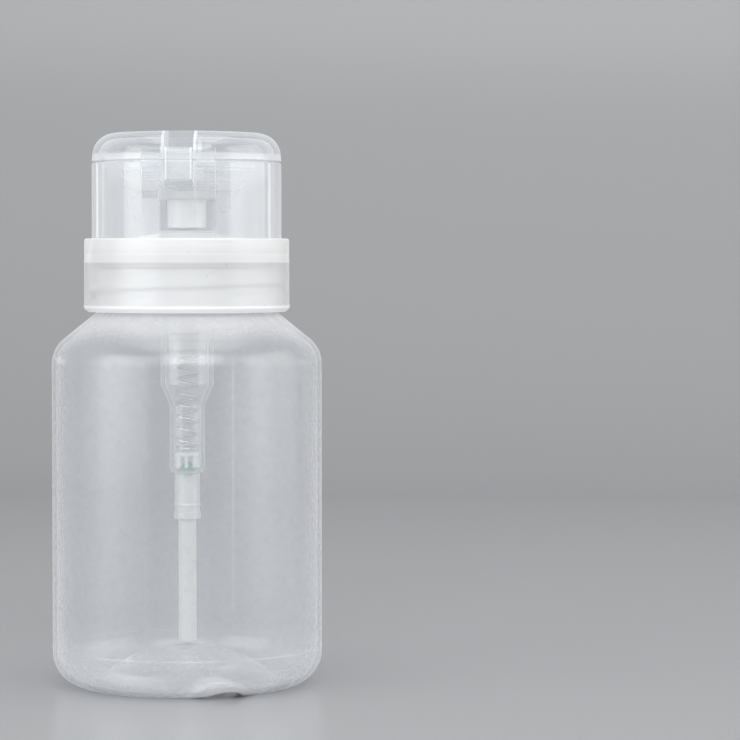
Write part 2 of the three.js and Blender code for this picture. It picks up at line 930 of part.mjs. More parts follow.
function makeDipTube() {
  const inner = dipTubeRadius - dipTubeWall;
  const top = lowerFloor - ballPocketDepth - (ballPocket - seatPort) - seatPortLength - clearance;
  const end = bottleWall + pushUpRise + domeRise + dipTubeGap;
  return turned([
    [inner, end],
    [dipTubeRadius, end],
    [dipTubeRadius, top],
    [inner, top],
  ], smallSides);
}

// The assembly, grouped as it comes apart on a bench
function add(group, name, solid, material) {
  const mesh = new THREE.Mesh(geometryOf(solid), material);
  mesh.name = name;
  group.add(mesh);
}

const bottle = new THREE.Group();
add(bottle, 'bottle', makeBottle(), milkyPlastic);

const closure = new THREE.Group();
add(closure, 'collar', makeCollar(), milkyPlastic);
add(closure, 'neck_gasket', makeNeckGasket(), foamLiner);
add(closure, 'guard_cup', makeGuardCup(), clearPlastic);

const flipLid = new THREE.Group();
add(flipLid, 'lid', makeLid(), clearPlastic);
add(flipLid, 'hinge_strap', makeStrap(), clearPlastic);
add(flipLid, 'hinge_leaf_left', makeLeaf(-1), clearPlastic);
add(flipLid, 'hinge_leaf_right', makeLeaf(1), clearPlastic);

const plunger = new THREE.Group();
add(plunger, 'dish', makeDish(), milkyPlastic);
add(plunger, 'nozzle', makeNozzle(), whitePlastic);
add(plunger, 'outlet_ball', makeOutletBall(), greenGlass);
add(plunger, 'stem', makeStem(), whitePlastic);
add(plunger, 'piston', makePiston(), whitePlastic);

const pump = new THREE.Group();
add(pump, 'pump_housing', makeHousing(), milkyPlastic);
add(pump, 'pump_gasket', makePumpGasket(), foamLiner);
add(pump, 'housing_cap', makeHousingCap(), whitePlastic);
add(pump, 'return_spring', makeSpring(), springSteel);
add(pump, 'ball_cage', makeBallCage(), whitePlastic);
add(pump, 'inlet_ball', makeBall(inletBallRadius, inletBallHeight), greenGlass);
add(pump, 'dip_tube', makeDipTube(), whitePlastic);

const removerPump = new THREE.Group();
removerPump.name = 'nail_polish_remover_pump';
removerPump.add(bottle, closure, flipLid, plunger, pump);

export default removerPump;
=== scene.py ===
# %% [markdown]
# # A nail polish remover pump in milky polypropylene
# The real object is a squat, see-through bottle with a push-down pump. A screw collar holds
# a clear guard cup with a hinged lid, and inside the cup sits the dish that a cotton pad is
# pressed on. The fixed frame gives every piece its real place and size. This lesson builds a
# smooth, see-through skin for each of those pieces, and gives it the finish of the real one.

import json
import math

import bmesh
import bpy
import numpy as np
from mathutils import Matrix, Vector


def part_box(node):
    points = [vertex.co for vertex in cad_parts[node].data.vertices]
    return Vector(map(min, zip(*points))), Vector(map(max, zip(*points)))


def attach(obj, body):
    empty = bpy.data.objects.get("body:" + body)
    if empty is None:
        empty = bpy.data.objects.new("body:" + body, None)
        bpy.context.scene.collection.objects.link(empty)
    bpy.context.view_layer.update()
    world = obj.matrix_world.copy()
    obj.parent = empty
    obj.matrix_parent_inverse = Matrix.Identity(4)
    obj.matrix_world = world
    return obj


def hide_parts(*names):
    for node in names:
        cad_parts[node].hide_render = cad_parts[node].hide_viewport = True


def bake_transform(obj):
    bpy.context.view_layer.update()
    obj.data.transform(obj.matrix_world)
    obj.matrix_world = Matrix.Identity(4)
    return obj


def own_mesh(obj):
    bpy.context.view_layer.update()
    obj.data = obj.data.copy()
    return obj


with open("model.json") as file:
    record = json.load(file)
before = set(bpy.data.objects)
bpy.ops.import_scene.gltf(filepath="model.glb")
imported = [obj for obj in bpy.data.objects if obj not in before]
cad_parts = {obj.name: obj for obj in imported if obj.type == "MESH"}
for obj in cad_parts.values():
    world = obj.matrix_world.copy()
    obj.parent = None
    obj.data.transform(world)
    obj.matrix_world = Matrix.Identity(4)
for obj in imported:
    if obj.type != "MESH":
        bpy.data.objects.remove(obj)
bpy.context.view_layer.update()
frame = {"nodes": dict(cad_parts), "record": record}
scene = bpy.context.scene
print("nodes:", len(frame["nodes"]))

# %% [markdown]
# ## Sizes
# Blender works in metres and a moulder thinks in millimetres, so every size below is written
# in millimetres and turned to metres once, when a mesh is made. A size that the frame holds
# is read from the frame, so that a skin always fits its piece. Only what a box can't say,
# such as a wall or a bore, is written here again.

# %% Read sizes from the frame
MM = 0.001


def span(node):
    """The lowest and highest corner of a node, in millimetres."""
    low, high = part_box(node)
    return low / MM, high / MM


CLEARANCE = 0.3  # between pieces that fit into each other
PARTING_GAP = 0.02  # keeps two faces out of one plane, where a join or a cut would tear
BODY_OF = {
    node: body
    for body, nodes in frame["record"]["behaviour"]["bodies"].items()
    for node in nodes
}
print("bottle stands", round(span("bottle")[1].z, 1), "mm tall without its pump")

# %% [markdown]
# ## Outlines and turned skins
# Nearly every piece here is round, because it was moulded or turned round one axis. Such a
# piece is best made by turning its outline: one list of radius and height points, carried
# round the axis. Real mouldings have no knife edges, so each corner of an outline gets a
# small arc first. The arc is what catches the light and draws a fine bright line.

# %% Outline helpers
NEARLY_STRAIGHT = math.radians(84)  # half the angle of a corner that needs no arc
ARC_SHARE = 0.45  # how much of a side one arc may take, so that two arcs never meet


def arc(centre_r, centre_z, radius, start, end, steps):
    """Points of an arc between two angles, both measured from the outward direction."""
    angles = np.linspace(start, end, steps + 1)
    return [(centre_r + radius * math.cos(a), centre_z + radius * math.sin(a)) for a in angles]


def rounded(outline, radius, steps=4, open_ends=False):
    """Gives each corner of an outline an arc, smaller where its sides are short."""
    result = []
    count = len(outline)
    for i, point in enumerate(outline):
        if open_ends and i in (0, count - 1):
            result.append(point)
            continue
        here = Vector(point)
        back = Vector(outline[i - 1]) - here
        ahead = Vector(outline[(i + 1) % count]) - here
        half = back.angle(ahead) / 2
        if half > NEARLY_STRAIGHT:
            result.append(point)
            continue
        reach = min(radius / math.tan(half), ARC_SHARE * back.length, ARC_SHARE * ahead.length)
        tight = reach * math.tan(half)
        middle = (back.normalized() + ahead.normalized()).normalized()
        centre = here + middle * (tight / math.sin(half))
        first = here + back.normalized() * reach - centre
        last = here + ahead.normalized() * reach - centre
        turn = first.angle_signed(last)
        for k in range(steps + 1):
            spoke = first.copy()
            spoke.rotate(Matrix.Rotation(-turn * k / steps, 2))
            result.append(tuple(centre + spoke))
    return result


test_corner = rounded([(0, 0), (10, 0), (10, 10), (0, 10)], 1)
print("a rounded square has", len(test_corner), "points")

# %% [markdown]
# The turned mesh takes a list of angles, so that a bottle can have more segments where a
# parting line or a notch needs them. A shape function may push each point a little, which
# is how threads, parting lines and the notch are pressed into the wall.

# %% Turn an outline into a mesh
def even_angles(count):
    return [2 * math.pi * i / count for i in range(count)]


def turned(name, outline, angles, shape=None):
    """A closed mesh: the outline, in millimetres, carried round the Z axis."""
    closed = outline[0][0] > 0
    rows = len(outline)
    mesh_points = []
    index = {}
    for row, (radius, height) in enumerate(outline):
        on_axis = radius < 1e-6
        for column, angle in enumerate(angles):
            if on_axis and column > 0:
                index[row, column] = index[row, 0]
                continue
            point = Vector((radius * math.cos(angle), radius * math.sin(angle), height))
            if shape is not None:
                point = shape(point, row, angle)
            index[row, column] = len(mesh_points)
            mesh_points.append(point * MM)
    faces = []
    for row in range(rows if closed else rows - 1):
        for column in range(len(angles)):
            after = (column + 1) % len(angles)
            next_row = (row + 1) % rows
            corners = [
                index[row, column], index[row, after],
                index[next_row, after], index[next_row, column],
            ]
            face = [c for i, c in enumerate(corners) if c != corners[i - 1]]
            if len(face) > 2:
                faces.append(face)
    return made(name, mesh_points, faces)


def made(name, points, faces):
    """An object from points and faces, with its faces pointing outwards."""
    mesh = bpy.data.meshes.new(name)
    mesh.from_pydata(points, [], faces)
    work = bmesh.new()
    work.from_mesh(mesh)
    bmesh.ops.recalc_face_normals(work, faces=work.faces)
    work.to_mesh(mesh)
    work.free()
    piece = bpy.data.objects.new(name, mesh)
    scene.collection.objects.link(piece)
    return piece


print("turning is ready")

# %% [markdown]
# ## Joining, cutting and smoothing
# Pieces that aren't round all over, such as the lid with its strap channel, are joined and
# cut from simple solids, as a toolmaker cuts a mould. The cutters are modelled with rounded
# edges, because a bevel added after a cut often tears. At the end each piece is shaded
# smooth with normals weighted by face area: flats stay flat right up to their small arcs.
#
# Further on, some places are marked as whiter than the rest. A mark lives on points and
# fades towards the next ones, so a flat wall gets extra points where its mark has to end.

# %% Modifiers, cutters and smooth shading
SHARP = math.radians(38)


def settle(piece):
    """Replaces a piece's modifiers by the mesh that they make."""
    depsgraph = bpy.context.evaluated_depsgraph_get()
    mesh = bpy.data.meshes.new_from_object(piece.evaluated_get(depsgraph))
    piece.modifiers.clear()
    piece.data = mesh
    return piece


def carve(piece, tool, operation):
    """Joins a tool to the piece, cuts it away, or keeps what both share; the tool is used up."""
    step = piece.modifiers.new("carve", "BOOLEAN")
    step.operation = operation
    step.solver = "EXACT"
    step.object = tool
    settle(piece)
    bpy.data.objects.remove(tool)
    return piece


def smooth(piece):
    piece.data.polygons.foreach_set("use_smooth", [True] * len(piece.data.polygons))
    piece.data.set_sharp_from_angle(angle=SHARP)
    step = piece.modifiers.new("weighted normals", "WEIGHTED_NORMAL")
    step.keep_sharp = True
    return settle(piece)


def block(name, low, high, edge):
    """A box between two corners in millimetres, with its edges rounded."""
    low, high = Vector(low), Vector(high)
    work = bmesh.new()
    bmesh.ops.create_cube(work, size=1)
    for vertex in work.verts:
        share = vertex.co + Vector((0.5, 0.5, 0.5))
        vertex.co = Vector([low[i] + share[i] * (high[i] - low[i]) for i in range(3)]) * MM
    if edge > 0:
        bmesh.ops.bevel(
            work, geom=work.edges[:], offset=edge * MM, segments=3, profile=0.5, affect="EDGES",
        )
    mesh = bpy.data.meshes.new(name)
    work.to_mesh(mesh)
    work.free()
    piece = bpy.data.objects.new(name, mesh)
    scene.collection.objects.link(piece)
    return piece


def prism(name, outline, low, high, axes):
    """An outline of two coordinates carried along the third; axes names them, such as 'yzx'."""
    first, second, along = ("xyz".index(a) for a in axes)
    points = []
    for distance in (low, high):
        for u, v in outline:
            point = Vector((0, 0, 0))
            point[first], point[second], point[along] = u, v, distance
            points.append(point * MM)
    count = len(outline)
    sides = [(i, (i + 1) % count, count + (i + 1) % count, count + i) for i in range(count)]
    return made(name, points, [tuple(range(count)), tuple(range(count, 2 * count)), *sides])


def score(piece, distance):
    """Adds points where the two planes at this distance left and right cross a piece."""
    work = bmesh.new()
    work.from_mesh(piece.data)
    for side in (-distance, distance):
        bmesh.ops.bisect_plane(
            work, geom=work.verts[:] + work.edges[:] + work.faces[:], dist=1e-7,
            plane_co=(side * MM, 0, 0), plane_no=(1, 0, 0),
        )
    work.to_mesh(piece.data)
    work.free()
    return piece


def dress(piece, node, material, bends=False):
    """Finishes a skin: it takes the node's place, gets its material and rides on its body; one
    that bends keeps its place and rides on no body.
    """
    smooth(piece)
    piece.data.materials.clear()
    piece.data.materials.append(material)
    if bends:
        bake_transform(piece)
    else:
        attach(piece, BODY_OF[node])
    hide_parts(node)
    low, high = span(node)
    points = np.array([v.co for v in piece.data.vertices]) / MM
    over = max((np.array(low) - points.min(0)).max(), (points.max(0) - np.array(high)).max())
    print(f"{piece.name}: {len(piece.data.polygons)} faces, {over:+.2f} mm past its node's box")
    return piece


print("cutting and smoothing are ready")

# %% [markdown]
# ## Materials: what milky plastic does to light
# Natural polypropylene has no pigment. Its tiny crystals scatter some light, so each wall is
# a thin white veil that still shows what is behind it. Three things make it look right. The
# veil grows where the eye looks along the wall, because the path through it is longer. Thick
# places, such as rims and the base, are whiter. And the smooth skin mirrors the softboxes,
# a little when seen squarely and strongly at a grazing angle.
#
# The veil is a mix of a Transparent shader and a white plastic one. Real refraction would
# bend the view, but in walls of 1 mm it shows little, and the mix keeps the pump readable.
# Part of what the veil scatters leaves on the far side of the wall, so the plastic glows
# when it is lit from behind. The more closed the wall is, the less light gets that far.

# %% Node helpers
def linear(code):
    """An sRGB hex colour as linear red, green, blue and 1."""
    parts = [int(code[i : i + 2], 16) / 255 for i in (1, 3, 5)]
    return [p / 12.92 if p <= 0.04045 else ((p + 0.055) / 1.055) ** 2.4 for p in parts] + [1.0]


def add(tree, kind, inputs=None, **settings):
    """Adds a node with its settings, and sets or links its inputs."""
    node = tree.nodes.new(kind)
    for name, value in settings.items():
        setattr(node, name, value)
    for name, value in (inputs or {}).items():
        if isinstance(value, bpy.types.NodeSocket):
            tree.links.new(value, node.inputs[name])
        else:
            node.inputs[name].default_value = value
    return node


def calculated(tree, operation, *values, **settings):
    """The result of a math node."""
    inputs = dict(enumerate(values))
    return add(tree, "ShaderNodeMath", inputs, operation=operation, **settings).outputs[0]


def per_metre(period):
    """The texture scale that gives a pattern of this period in millimetres."""
    return 1 / (period * MM)


def new_material(name):
    """A material, its empty node tree, and the place on the piece that patterns start from."""
    material = bpy.data.materials.new(name)
    material.use_nodes = True
    tree = material.node_tree
    tree.nodes.clear()
    return material, tree, add(tree, "ShaderNodeTexCoord").outputs["Object"]


print("white in linear light:", linear("#ffffff")[:3])

# %% [markdown]
# One recipe serves every see-through plastic here, because they differ in amounts and not in
# kind: how milky the resin is, how fast the veil closes towards the edge, how polished the
# mould was, and how uneven the wall is. The unevenness is stretched upwards, since a blown
# wall thins in long vertical bands.
#
# The mirror is a mix of its own and not the plastic shader's, because it must lie over the
# open part of the wall too. It is capped: a ray crosses up to a dozen walls in here, and
# full mirrors on all of them would turn the edges to chrome.

# %% The recipe for milky plastic
CLOSED_VEIL = 0.6  # the veil that a wall gains when it is seen along its length
THICK_AND_PAINTED_LIGHT_VEIL = 0.5  # the veil that a mark of 1 adds, see "Mark where the wall is thick"
HELD_BACK = 0.85  # how much of the onward light a fully closed wall keeps
MIRROR_SQUARE, MIRROR_GRAZING, MIRROR_CAP = 0.045, 0.25, 0.11
BAND_STRETCH = 0.22  # a band's width over its height
GRAIN = 2.4  # mm, the ripple of the skin; drawn coarser than it is, so that it shows


def milky_plastic(name, colour, veil, closing, polish, bands, unevenness, skin, onward=0.4):
    """See-through plastic. veil is one surface's share of white, closing the power of its rise
    to the edge, polish the mirror's roughness, bands the width of the wall's uneven bands in
    millimetres, unevenness their strength, skin the bump's height in millimetres, and onward
    the share of the scattered light that leaves on the far side."""
    material, tree, place = new_material(name)
    tall = add(tree, "ShaderNodeMapping", {
        "Vector": place, "Scale": (1, 1, BAND_STRETCH),
    }).outputs[0]
    wall = add(tree, "ShaderNodeTexNoise", {
        "Vector": tall, "Scale": per_metre(bands), "Detail": 2.0, "Roughness": 0.45,
    }).outputs["Fac"]
    fine = add(tree, "ShaderNodeTexNoise", {
        "Vector": place, "Scale": per_metre(GRAIN), "Detail": 1.0,
    }).outputs["Fac"]

    facing = add(tree, "ShaderNodeLayerWeight", {"Blend": 0.5}).outputs["Facing"]
    closed = calculated(tree, "POWER", facing, closing)
    # the mark holds how thick a place is, and on the bottle painted light as well
    thick = add(tree, "ShaderNodeAttribute", attribute_name="thick").outputs["Fac"]
    uneven = add(tree, "ShaderNodeMapRange", {
        "Value": wall, "From Min": 0.3, "From Max": 0.7,
        "To Min": veil * (1 - unevenness), "To Max": veil * (1 + unevenness),
    }).outputs[0]
    milk = calculated(tree, "MULTIPLY_ADD", thick, THICK_AND_PAINTED_LIGHT_VEIL, uneven)
    share = calculated(tree, "MULTIPLY_ADD", closed, CLOSED_VEIL, milk, use_clamp=True)

    bump = add(tree, "ShaderNodeBump", {
        "Height": fine, "Strength": 1.0, "Distance": skin * MM,
    }).outputs[0]
    rough = add(tree, "ShaderNodeMapRange", {
        "Value": fine, "To Min": polish * 0.8, "To Max": polish * 1.25,
    }).outputs[0]
    white = add(tree, "ShaderNodeBsdfPrincipled", {
        "Base Color": linear(colour), "Roughness": 0.45, "IOR": 1.49,
        "Specular IOR Level": 0.2, "Normal": bump,
    }).outputs[0]
    glow = add(tree, "ShaderNodeBsdfTranslucent", {"Color": linear(colour)}).outputs[0]
    through = calculated(tree, "MULTIPLY_ADD", share, -HELD_BACK * onward, onward)
    scattered = add(tree, "ShaderNodeMixShader", {0: through, 1: white, 2: glow}).outputs[0]
    open_light = add(tree, "ShaderNodeBsdfTransparent", {"Color": linear("#fdfeff")}).outputs[0]
    veiled = add(tree, "ShaderNodeMixShader", {0: share, 1: open_light, 2: scattered}).outputs[0]

    grazing = calculated(tree, "POWER", facing, 4.0)
    mirror = calculated(tree, "MULTIPLY_ADD", grazing, MIRROR_GRAZING, MIRROR_SQUARE)
    capped = calculated(tree, "MINIMUM", mirror, MIRROR_CAP)
    shine = add(tree, "ShaderNodeBsdfAnisotropic", {
        "Color": linear("#ffffff"), "Roughness": rough, "Normal": bump,
    }).outputs[0]
    surface = add(tree, "ShaderNodeMixShader", {0: capped, 1: veiled, 2: shine}).outputs[0]
    add(tree, "ShaderNodeOutputMaterial", {"Surface": surface})
    return material


# %% [markdown]
# ## The plastics of this object
# The bottle is blown from natural polypropylene: long bands in the wall and a slightly
# rippled skin. The collar is injection-moulded from the same resin, thicker and more even.
# The cup and the lid are a clarified grade, which is much clearer and has a polished skin.
# Inside, the pump's pieces are thick natural mouldings that read as white, but for the
# barrel, which is thin enough to show the spring. All colours stay close to neutral: what
# tints them is what they mirror.

# %% Make the plastics
blown_polypropylene = milky_plastic(
    "blown natural polypropylene", "#f5f5f6",
    veil=0.075, closing=4.0, polish=0.26, bands=16, unevenness=0.4, skin=0.003,
)
moulded_polypropylene = milky_plastic(
    "moulded natural polypropylene", "#fbfbfa",
    veil=0.32, closing=4.0, polish=0.3, bands=24, unevenness=0.1, skin=0.003,
)
clarified_polypropylene = milky_plastic(
    "clarified polypropylene", "#f7f8f9",
    veil=0.085, closing=2.8, polish=0.07, bands=22, unevenness=0.2, skin=0.001,
)
dish_polypropylene = milky_plastic(
    "press dish polypropylene", "#fbfaf8",
    veil=0.17, closing=3.0, polish=0.15, bands=10, unevenness=0.1, skin=0.002,
)
pump_polypropylene = milky_plastic(
    "thick pump polypropylene", "#fbfaf7",
    veil=0.8, closing=3.0, polish=0.22, bands=8, unevenness=0.1, skin=0.004, onward=0.25,
)
barrel_polypropylene = milky_plastic(
    "pump barrel polypropylene", "#fbfaf8",
    veil=0.13, closing=3.0, polish=0.14, bands=6, unevenness=0.15, skin=0.003, onward=0.3,
)
tube_polyethylene = milky_plastic(
    "extruded polyethylene tube", "#e9e8e6",
    veil=0.8, closing=2.5, polish=0.3, bands=10, unevenness=0.1, skin=0.004, onward=0.25,
)
hinge_polypropylene = milky_plastic(
    "frosted hinge polypropylene", "#f7f8f8",
    veil=0.13, closing=3.0, polish=0.3, bands=5, unevenness=0.2, skin=0.003,
)
PLASTIC_OF = {
    "bottle": blown_polypropylene,
    "collar": moulded_polypropylene,
    "guard_cup": clarified_polypropylene,
    "lid": clarified_polypropylene,
    "hinge_strap": hinge_polypropylene,
    "hinge_leaf_left": hinge_polypropylene,
    "hinge_leaf_right": hinge_polypropylene,
    "dish": dish_polypropylene,
    "nozzle": pump_polypropylene,
    "stem": pump_polypropylene,
    "piston": pump_polypropylene,
    "pump_housing": barrel_polypropylene,
    "housing_cap": pump_polypropylene,
    "ball_cage": pump_polypropylene,
    "dip_tube": tube_polyethylene,
}
print("plastics:", len(set(PLASTIC_OF.values())))

# %% [markdown]
# Three finishes aren't milky plastic. The spring is drawn stainless wire: the die leaves a
# fine unevenness on it, and it is bright but not a mirror. The valve balls are soda-lime
# glass with a green cast, ground round and then polished. The gaskets are foamed
# polyethylene, matt and finely pitted.

# %% Spring steel
def drawn_steel():
    material, tree, place = new_material("drawn stainless spring wire")
    # the marks of a die are some hundredths of a millimetre wide: drawn coarser, to show
    drawn = add(tree, "ShaderNodeTexNoise", {
        "Vector": place, "Scale": per_metre(0.25), "Detail": 2.0,
    }).outputs["Fac"]
    rough = add(tree, "ShaderNodeMapRange", {
        "Value": drawn, "To Min": 0.15, "To Max": 0.22,
    }).outputs[0]
    bump = add(tree, "ShaderNodeBump", {"Height": drawn, "Distance": 0.002 * MM}).outputs[0]
    steel = add(tree, "ShaderNodeBsdfPrincipled", {
        "Base Color": linear("#dededd"), "Metallic": 1.0, "Roughness": rough, "Normal": bump,
    }).outputs[0]
    add(tree, "ShaderNodeOutputMaterial", {"Surface": steel})
    return material


# %% Green glass
def green_glass():
    material, tree, place = new_material("green soda-lime glass")
    cords = add(tree, "ShaderNodeTexNoise", {
        "Vector": place, "Scale": per_metre(1.2), "Detail": 2.0,
    }).outputs["Fac"]
    tint = add(tree, "ShaderNodeMix", {
        "Factor": cords, "A": linear("#7fbfa6"), "B": linear("#a3d8c4"),
    }, data_type="RGBA")
    facing = add(tree, "ShaderNodeLayerWeight", {"Blend": 0.5}).outputs["Facing"]
    body = add(tree, "ShaderNodeBsdfPrincipled", {
        "Base Color": tint.outputs["Result"], "Roughness": 0.08, "IOR": 1.52,
    }).outputs[0]
    clear = add(tree, "ShaderNodeBsdfTransparent", {"Color": linear("#b9e4d3")}).outputs[0]
    share = add(tree, "ShaderNodeMapRange", {
        "Value": facing, "To Min": 0.5, "To Max": 0.95,
    }).outputs[0]
    glass = add(tree, "ShaderNodeMixShader", {0: share, 1: clear, 2: body}).outputs[0]
    add(tree, "ShaderNodeOutputMaterial", {"Surface": glass})
    return material


# %% Foamed liner
def foamed_polyethylene():
    material, tree, place = new_material("foamed polyethylene liner")
    # real foam cells are about 0.1 mm across: drawn coarser, so that they show
    cells = add(tree, "ShaderNodeTexVoronoi", {
        "Vector": place, "Scale": per_metre(0.35),
    }).outputs["Distance"]
    colour = add(tree, "ShaderNodeMix", {
        "Factor": cells, "A": linear("#e6e7e5"), "B": linear("#f4f4f2"),
    }, data_type="RGBA")
    bump = add(tree, "ShaderNodeBump", {"Height": cells, "Distance": 0.05 * MM}).outputs[0]
    foam = add(tree, "ShaderNodeBsdfPrincipled", {
        "Base Color": colour.outputs["Result"], "Roughness": 0.85, "Normal": bump,
    }).outputs[0]
    glow = add(tree, "ShaderNodeBsdfTranslucent", {"Color": linear("#f4f4f2")}).outputs[0]
    lit = add(tree, "ShaderNodeMixShader", {0: 0.5, 1: foam, 2: glow}).outputs[0]
    add(tree, "ShaderNodeOutputMaterial", {"Surface": lit})
    return material


spring_steel = drawn_steel()
valve_glass = green_glass()
liner_foam = foamed_polyethylene()
print("materials in all:", len(bpy.data.materials))

# %% [markdown]
# ## Bottle
# A tube of hot resin is closed in a mould and blown up against its walls. That leaves traces
# that tell the eye how it was made: a fine parting line up each side, a line round the heel
# where the base insert meets the walls, a pinched seam across the domed base, and a small
# arch in the heel that locates the bottle on the filling line. The neck's thread is formed
# with the wall, so it is pressed into the same skin here and not stuck on.

# %% Bottle sizes
bottle_high = span("bottle")[1]
BODY_RADIUS = bottle_high.x
NECK_TOP = bottle_high.z
BOTTLE_WALL = 1.0
HEEL_RADIUS = 8.0
STAND_WIDTH = 1.6
PUSH_UP_WIDTH = 2.5
PUSH_UP_RISE = 1.8
DOME_RISE = 6.4
SHOULDER_RADIUS = 7.5
SHOULDER_SLOPE = math.radians(39)
SHOULDER_TOP = 86.2
NECK_RADIUS = 20.4
NECK_WALL = 1.8
NOTCH_WIDTH = 9.7
NOTCH_RISE = 1.7
NOTCH_REACH = 10.0
NOTCH_TURN = math.radians(24)
LINE_PROUD = 0.1  # of the parting lines and the heel line
LINE_HALF = 0.22
HEEL_LINE = 8.9
SEAM_HALF = 0.7  # the pinched seam under the base
SEAM_DEPTH = 0.45
NECK_FILLET = 1.4
RIM_EDGE = 0.4
THREAD_PITCH = 4.2
THREAD_TURNS = 1.25
THREAD_START = NECK_TOP - 6.6
NECK_THREAD = 1.1
THREAD_HALF = 1.0
THREAD_FADE = 0.12
print("body", round(2 * BODY_RADIUS, 1), "mm across, neck rim at", round(NECK_TOP, 1), "mm")

# %% Bottle outline
def body_outline(inset, lift, neck, top, rows):
    """One skin of the bottle, from the middle of the base to the neck's rim."""
    heel = BODY_RADIUS - LINE_PROUD - HEEL_RADIUS
    stand = heel - STAND_WIDTH
    foot = stand - PUSH_UP_WIDTH
    dome = (foot**2 + DOME_RISE**2) / (2 * DOME_RISE)
    dome_top = lift + PUSH_UP_RISE + DOME_RISE
    shoulder = BODY_RADIUS - LINE_PROUD - SHOULDER_RADIUS
    bend = math.pi / 2 - SHOULDER_SLOPE
    run = shoulder + SHOULDER_RADIUS * math.cos(bend) - NECK_RADIUS
    shoulder_z = SHOULDER_TOP - run * math.tan(SHOULDER_SLOPE) - SHOULDER_RADIUS * math.sin(bend)
    neck_foot = SHOULDER_TOP + (NECK_RADIUS - neck) * math.tan(SHOULDER_SLOPE)
    neck_foot -= inset / math.cos(SHOULDER_SLOPE)
    wall = BODY_RADIUS - LINE_PROUD - inset
    base = arc(0, dome_top - dome, dome, math.pi / 2, math.acos(foot / dome), 30)[1:]
    stand_ring = rounded([base[-1], (stand, lift), (heel, lift), (heel + 1, lift)], 1.2,
                         open_ends=True)[1:-1]
    heel_arc = arc(heel, HEEL_RADIUS, HEEL_RADIUS - inset, -math.pi / 2, 0, 28)[1:]
    shoulder_arc = arc(shoulder, shoulder_z, SHOULDER_RADIUS - inset, 0, bend, 12)
    last = shoulder_arc[-1]
    neck_bend = rounded([last, (neck, neck_foot), (neck, top)], NECK_FILLET, 6, open_ends=True)
    neck_rows = [(neck, z) for z in np.linspace(neck_bend[-2][1] + 0.2, top, rows)]
    return [
        (0, dome_top), *base, *stand_ring, *heel_arc,
        *[(wall, z) for z in np.linspace(HEEL_LINE - 0.5, HEEL_LINE + 0.5, 9)],
        *[(wall, z) for z in np.linspace(HEEL_LINE + 4, shoulder_z - 4, 8)],
        *shoulder_arc, *neck_bend[1:-1], *neck_rows,
    ]


NECK_BORE = NECK_RADIUS - NECK_WALL
rim_start = NECK_TOP - RIM_EDGE
outer_skin = body_outline(0, 0, NECK_RADIUS, rim_start, rows=44)  # many rows, for the thread
inner_skin = body_outline(BOTTLE_WALL, BOTTLE_WALL, NECK_BORE, rim_start, rows=6)
rim = rounded([
    outer_skin[-1], (NECK_RADIUS, NECK_TOP), (NECK_BORE, NECK_TOP), inner_skin[-1],
], RIM_EDGE, open_ends=True)[1:-1]
bottle_outline = outer_skin + rim + inner_skin[::-1]
print("bottle outline:", len(bottle_outline), "points")

# %% [markdown]
# The shape function below presses the details into the bottle. A parting line is a bump in
# radius that depends only on how far a point is from the parting plane. The thread's middle
# climbs with the angle, so its height above the wall depends on how far a point is from that
# climbing line. The notch lifts every point that lies inside an arch, and the inner skin
# follows at the wall's distance, so the wall keeps its thickness. All of them end softly,
# because a hot skin is stretched over its mould and never fills a corner.

# %% Press the details into the bottle
def ridge(distance, half):
    """A smooth ridge: 1 in the middle, 0 from half its width on."""
    return 0.0 if abs(distance) >= half else math.cos(math.pi * distance / (2 * half)) ** 2


def flank(distance, half, slope):
    """A flat-topped ridge with sloping flanks, as a thread has."""
    return min(1.0, max(0.0, (half - abs(distance)) / slope))


def thread_height(angle, height, start):
    """How much of a thread's full height stands at this angle and height."""
    best = 0.0
    for turn in range(int(THREAD_TURNS) + 2):
        along = (angle % (2 * math.pi)) / (2 * math.pi) + turn
        if along > THREAD_TURNS:
            break
        share = along / THREAD_TURNS
        fade = min(1, share / THREAD_FADE, (1 - share) / THREAD_FADE)
        rise = flank(height - start - THREAD_PITCH * along, THREAD_HALF, 0.5)
        best = max(best, rise * fade)
    return best


NOTCH_ARCH = (NOTCH_WIDTH**2 / 4 + NOTCH_RISE**2) / (2 * NOTCH_RISE)
NOTCH_EASE = 2.0  # the notch's roof comes down to the base over this length
LINE_FADE = 4.0  # the parting line runs out over this height, below the neck
SEAM_FADE = 3.0
notch_way = Vector((math.sin(NOTCH_TURN), -math.cos(NOTCH_TURN), 0))
notch_across = Vector((math.cos(NOTCH_TURN), math.sin(NOTCH_TURN), 0))
OUTER_ROWS = len(outer_skin)


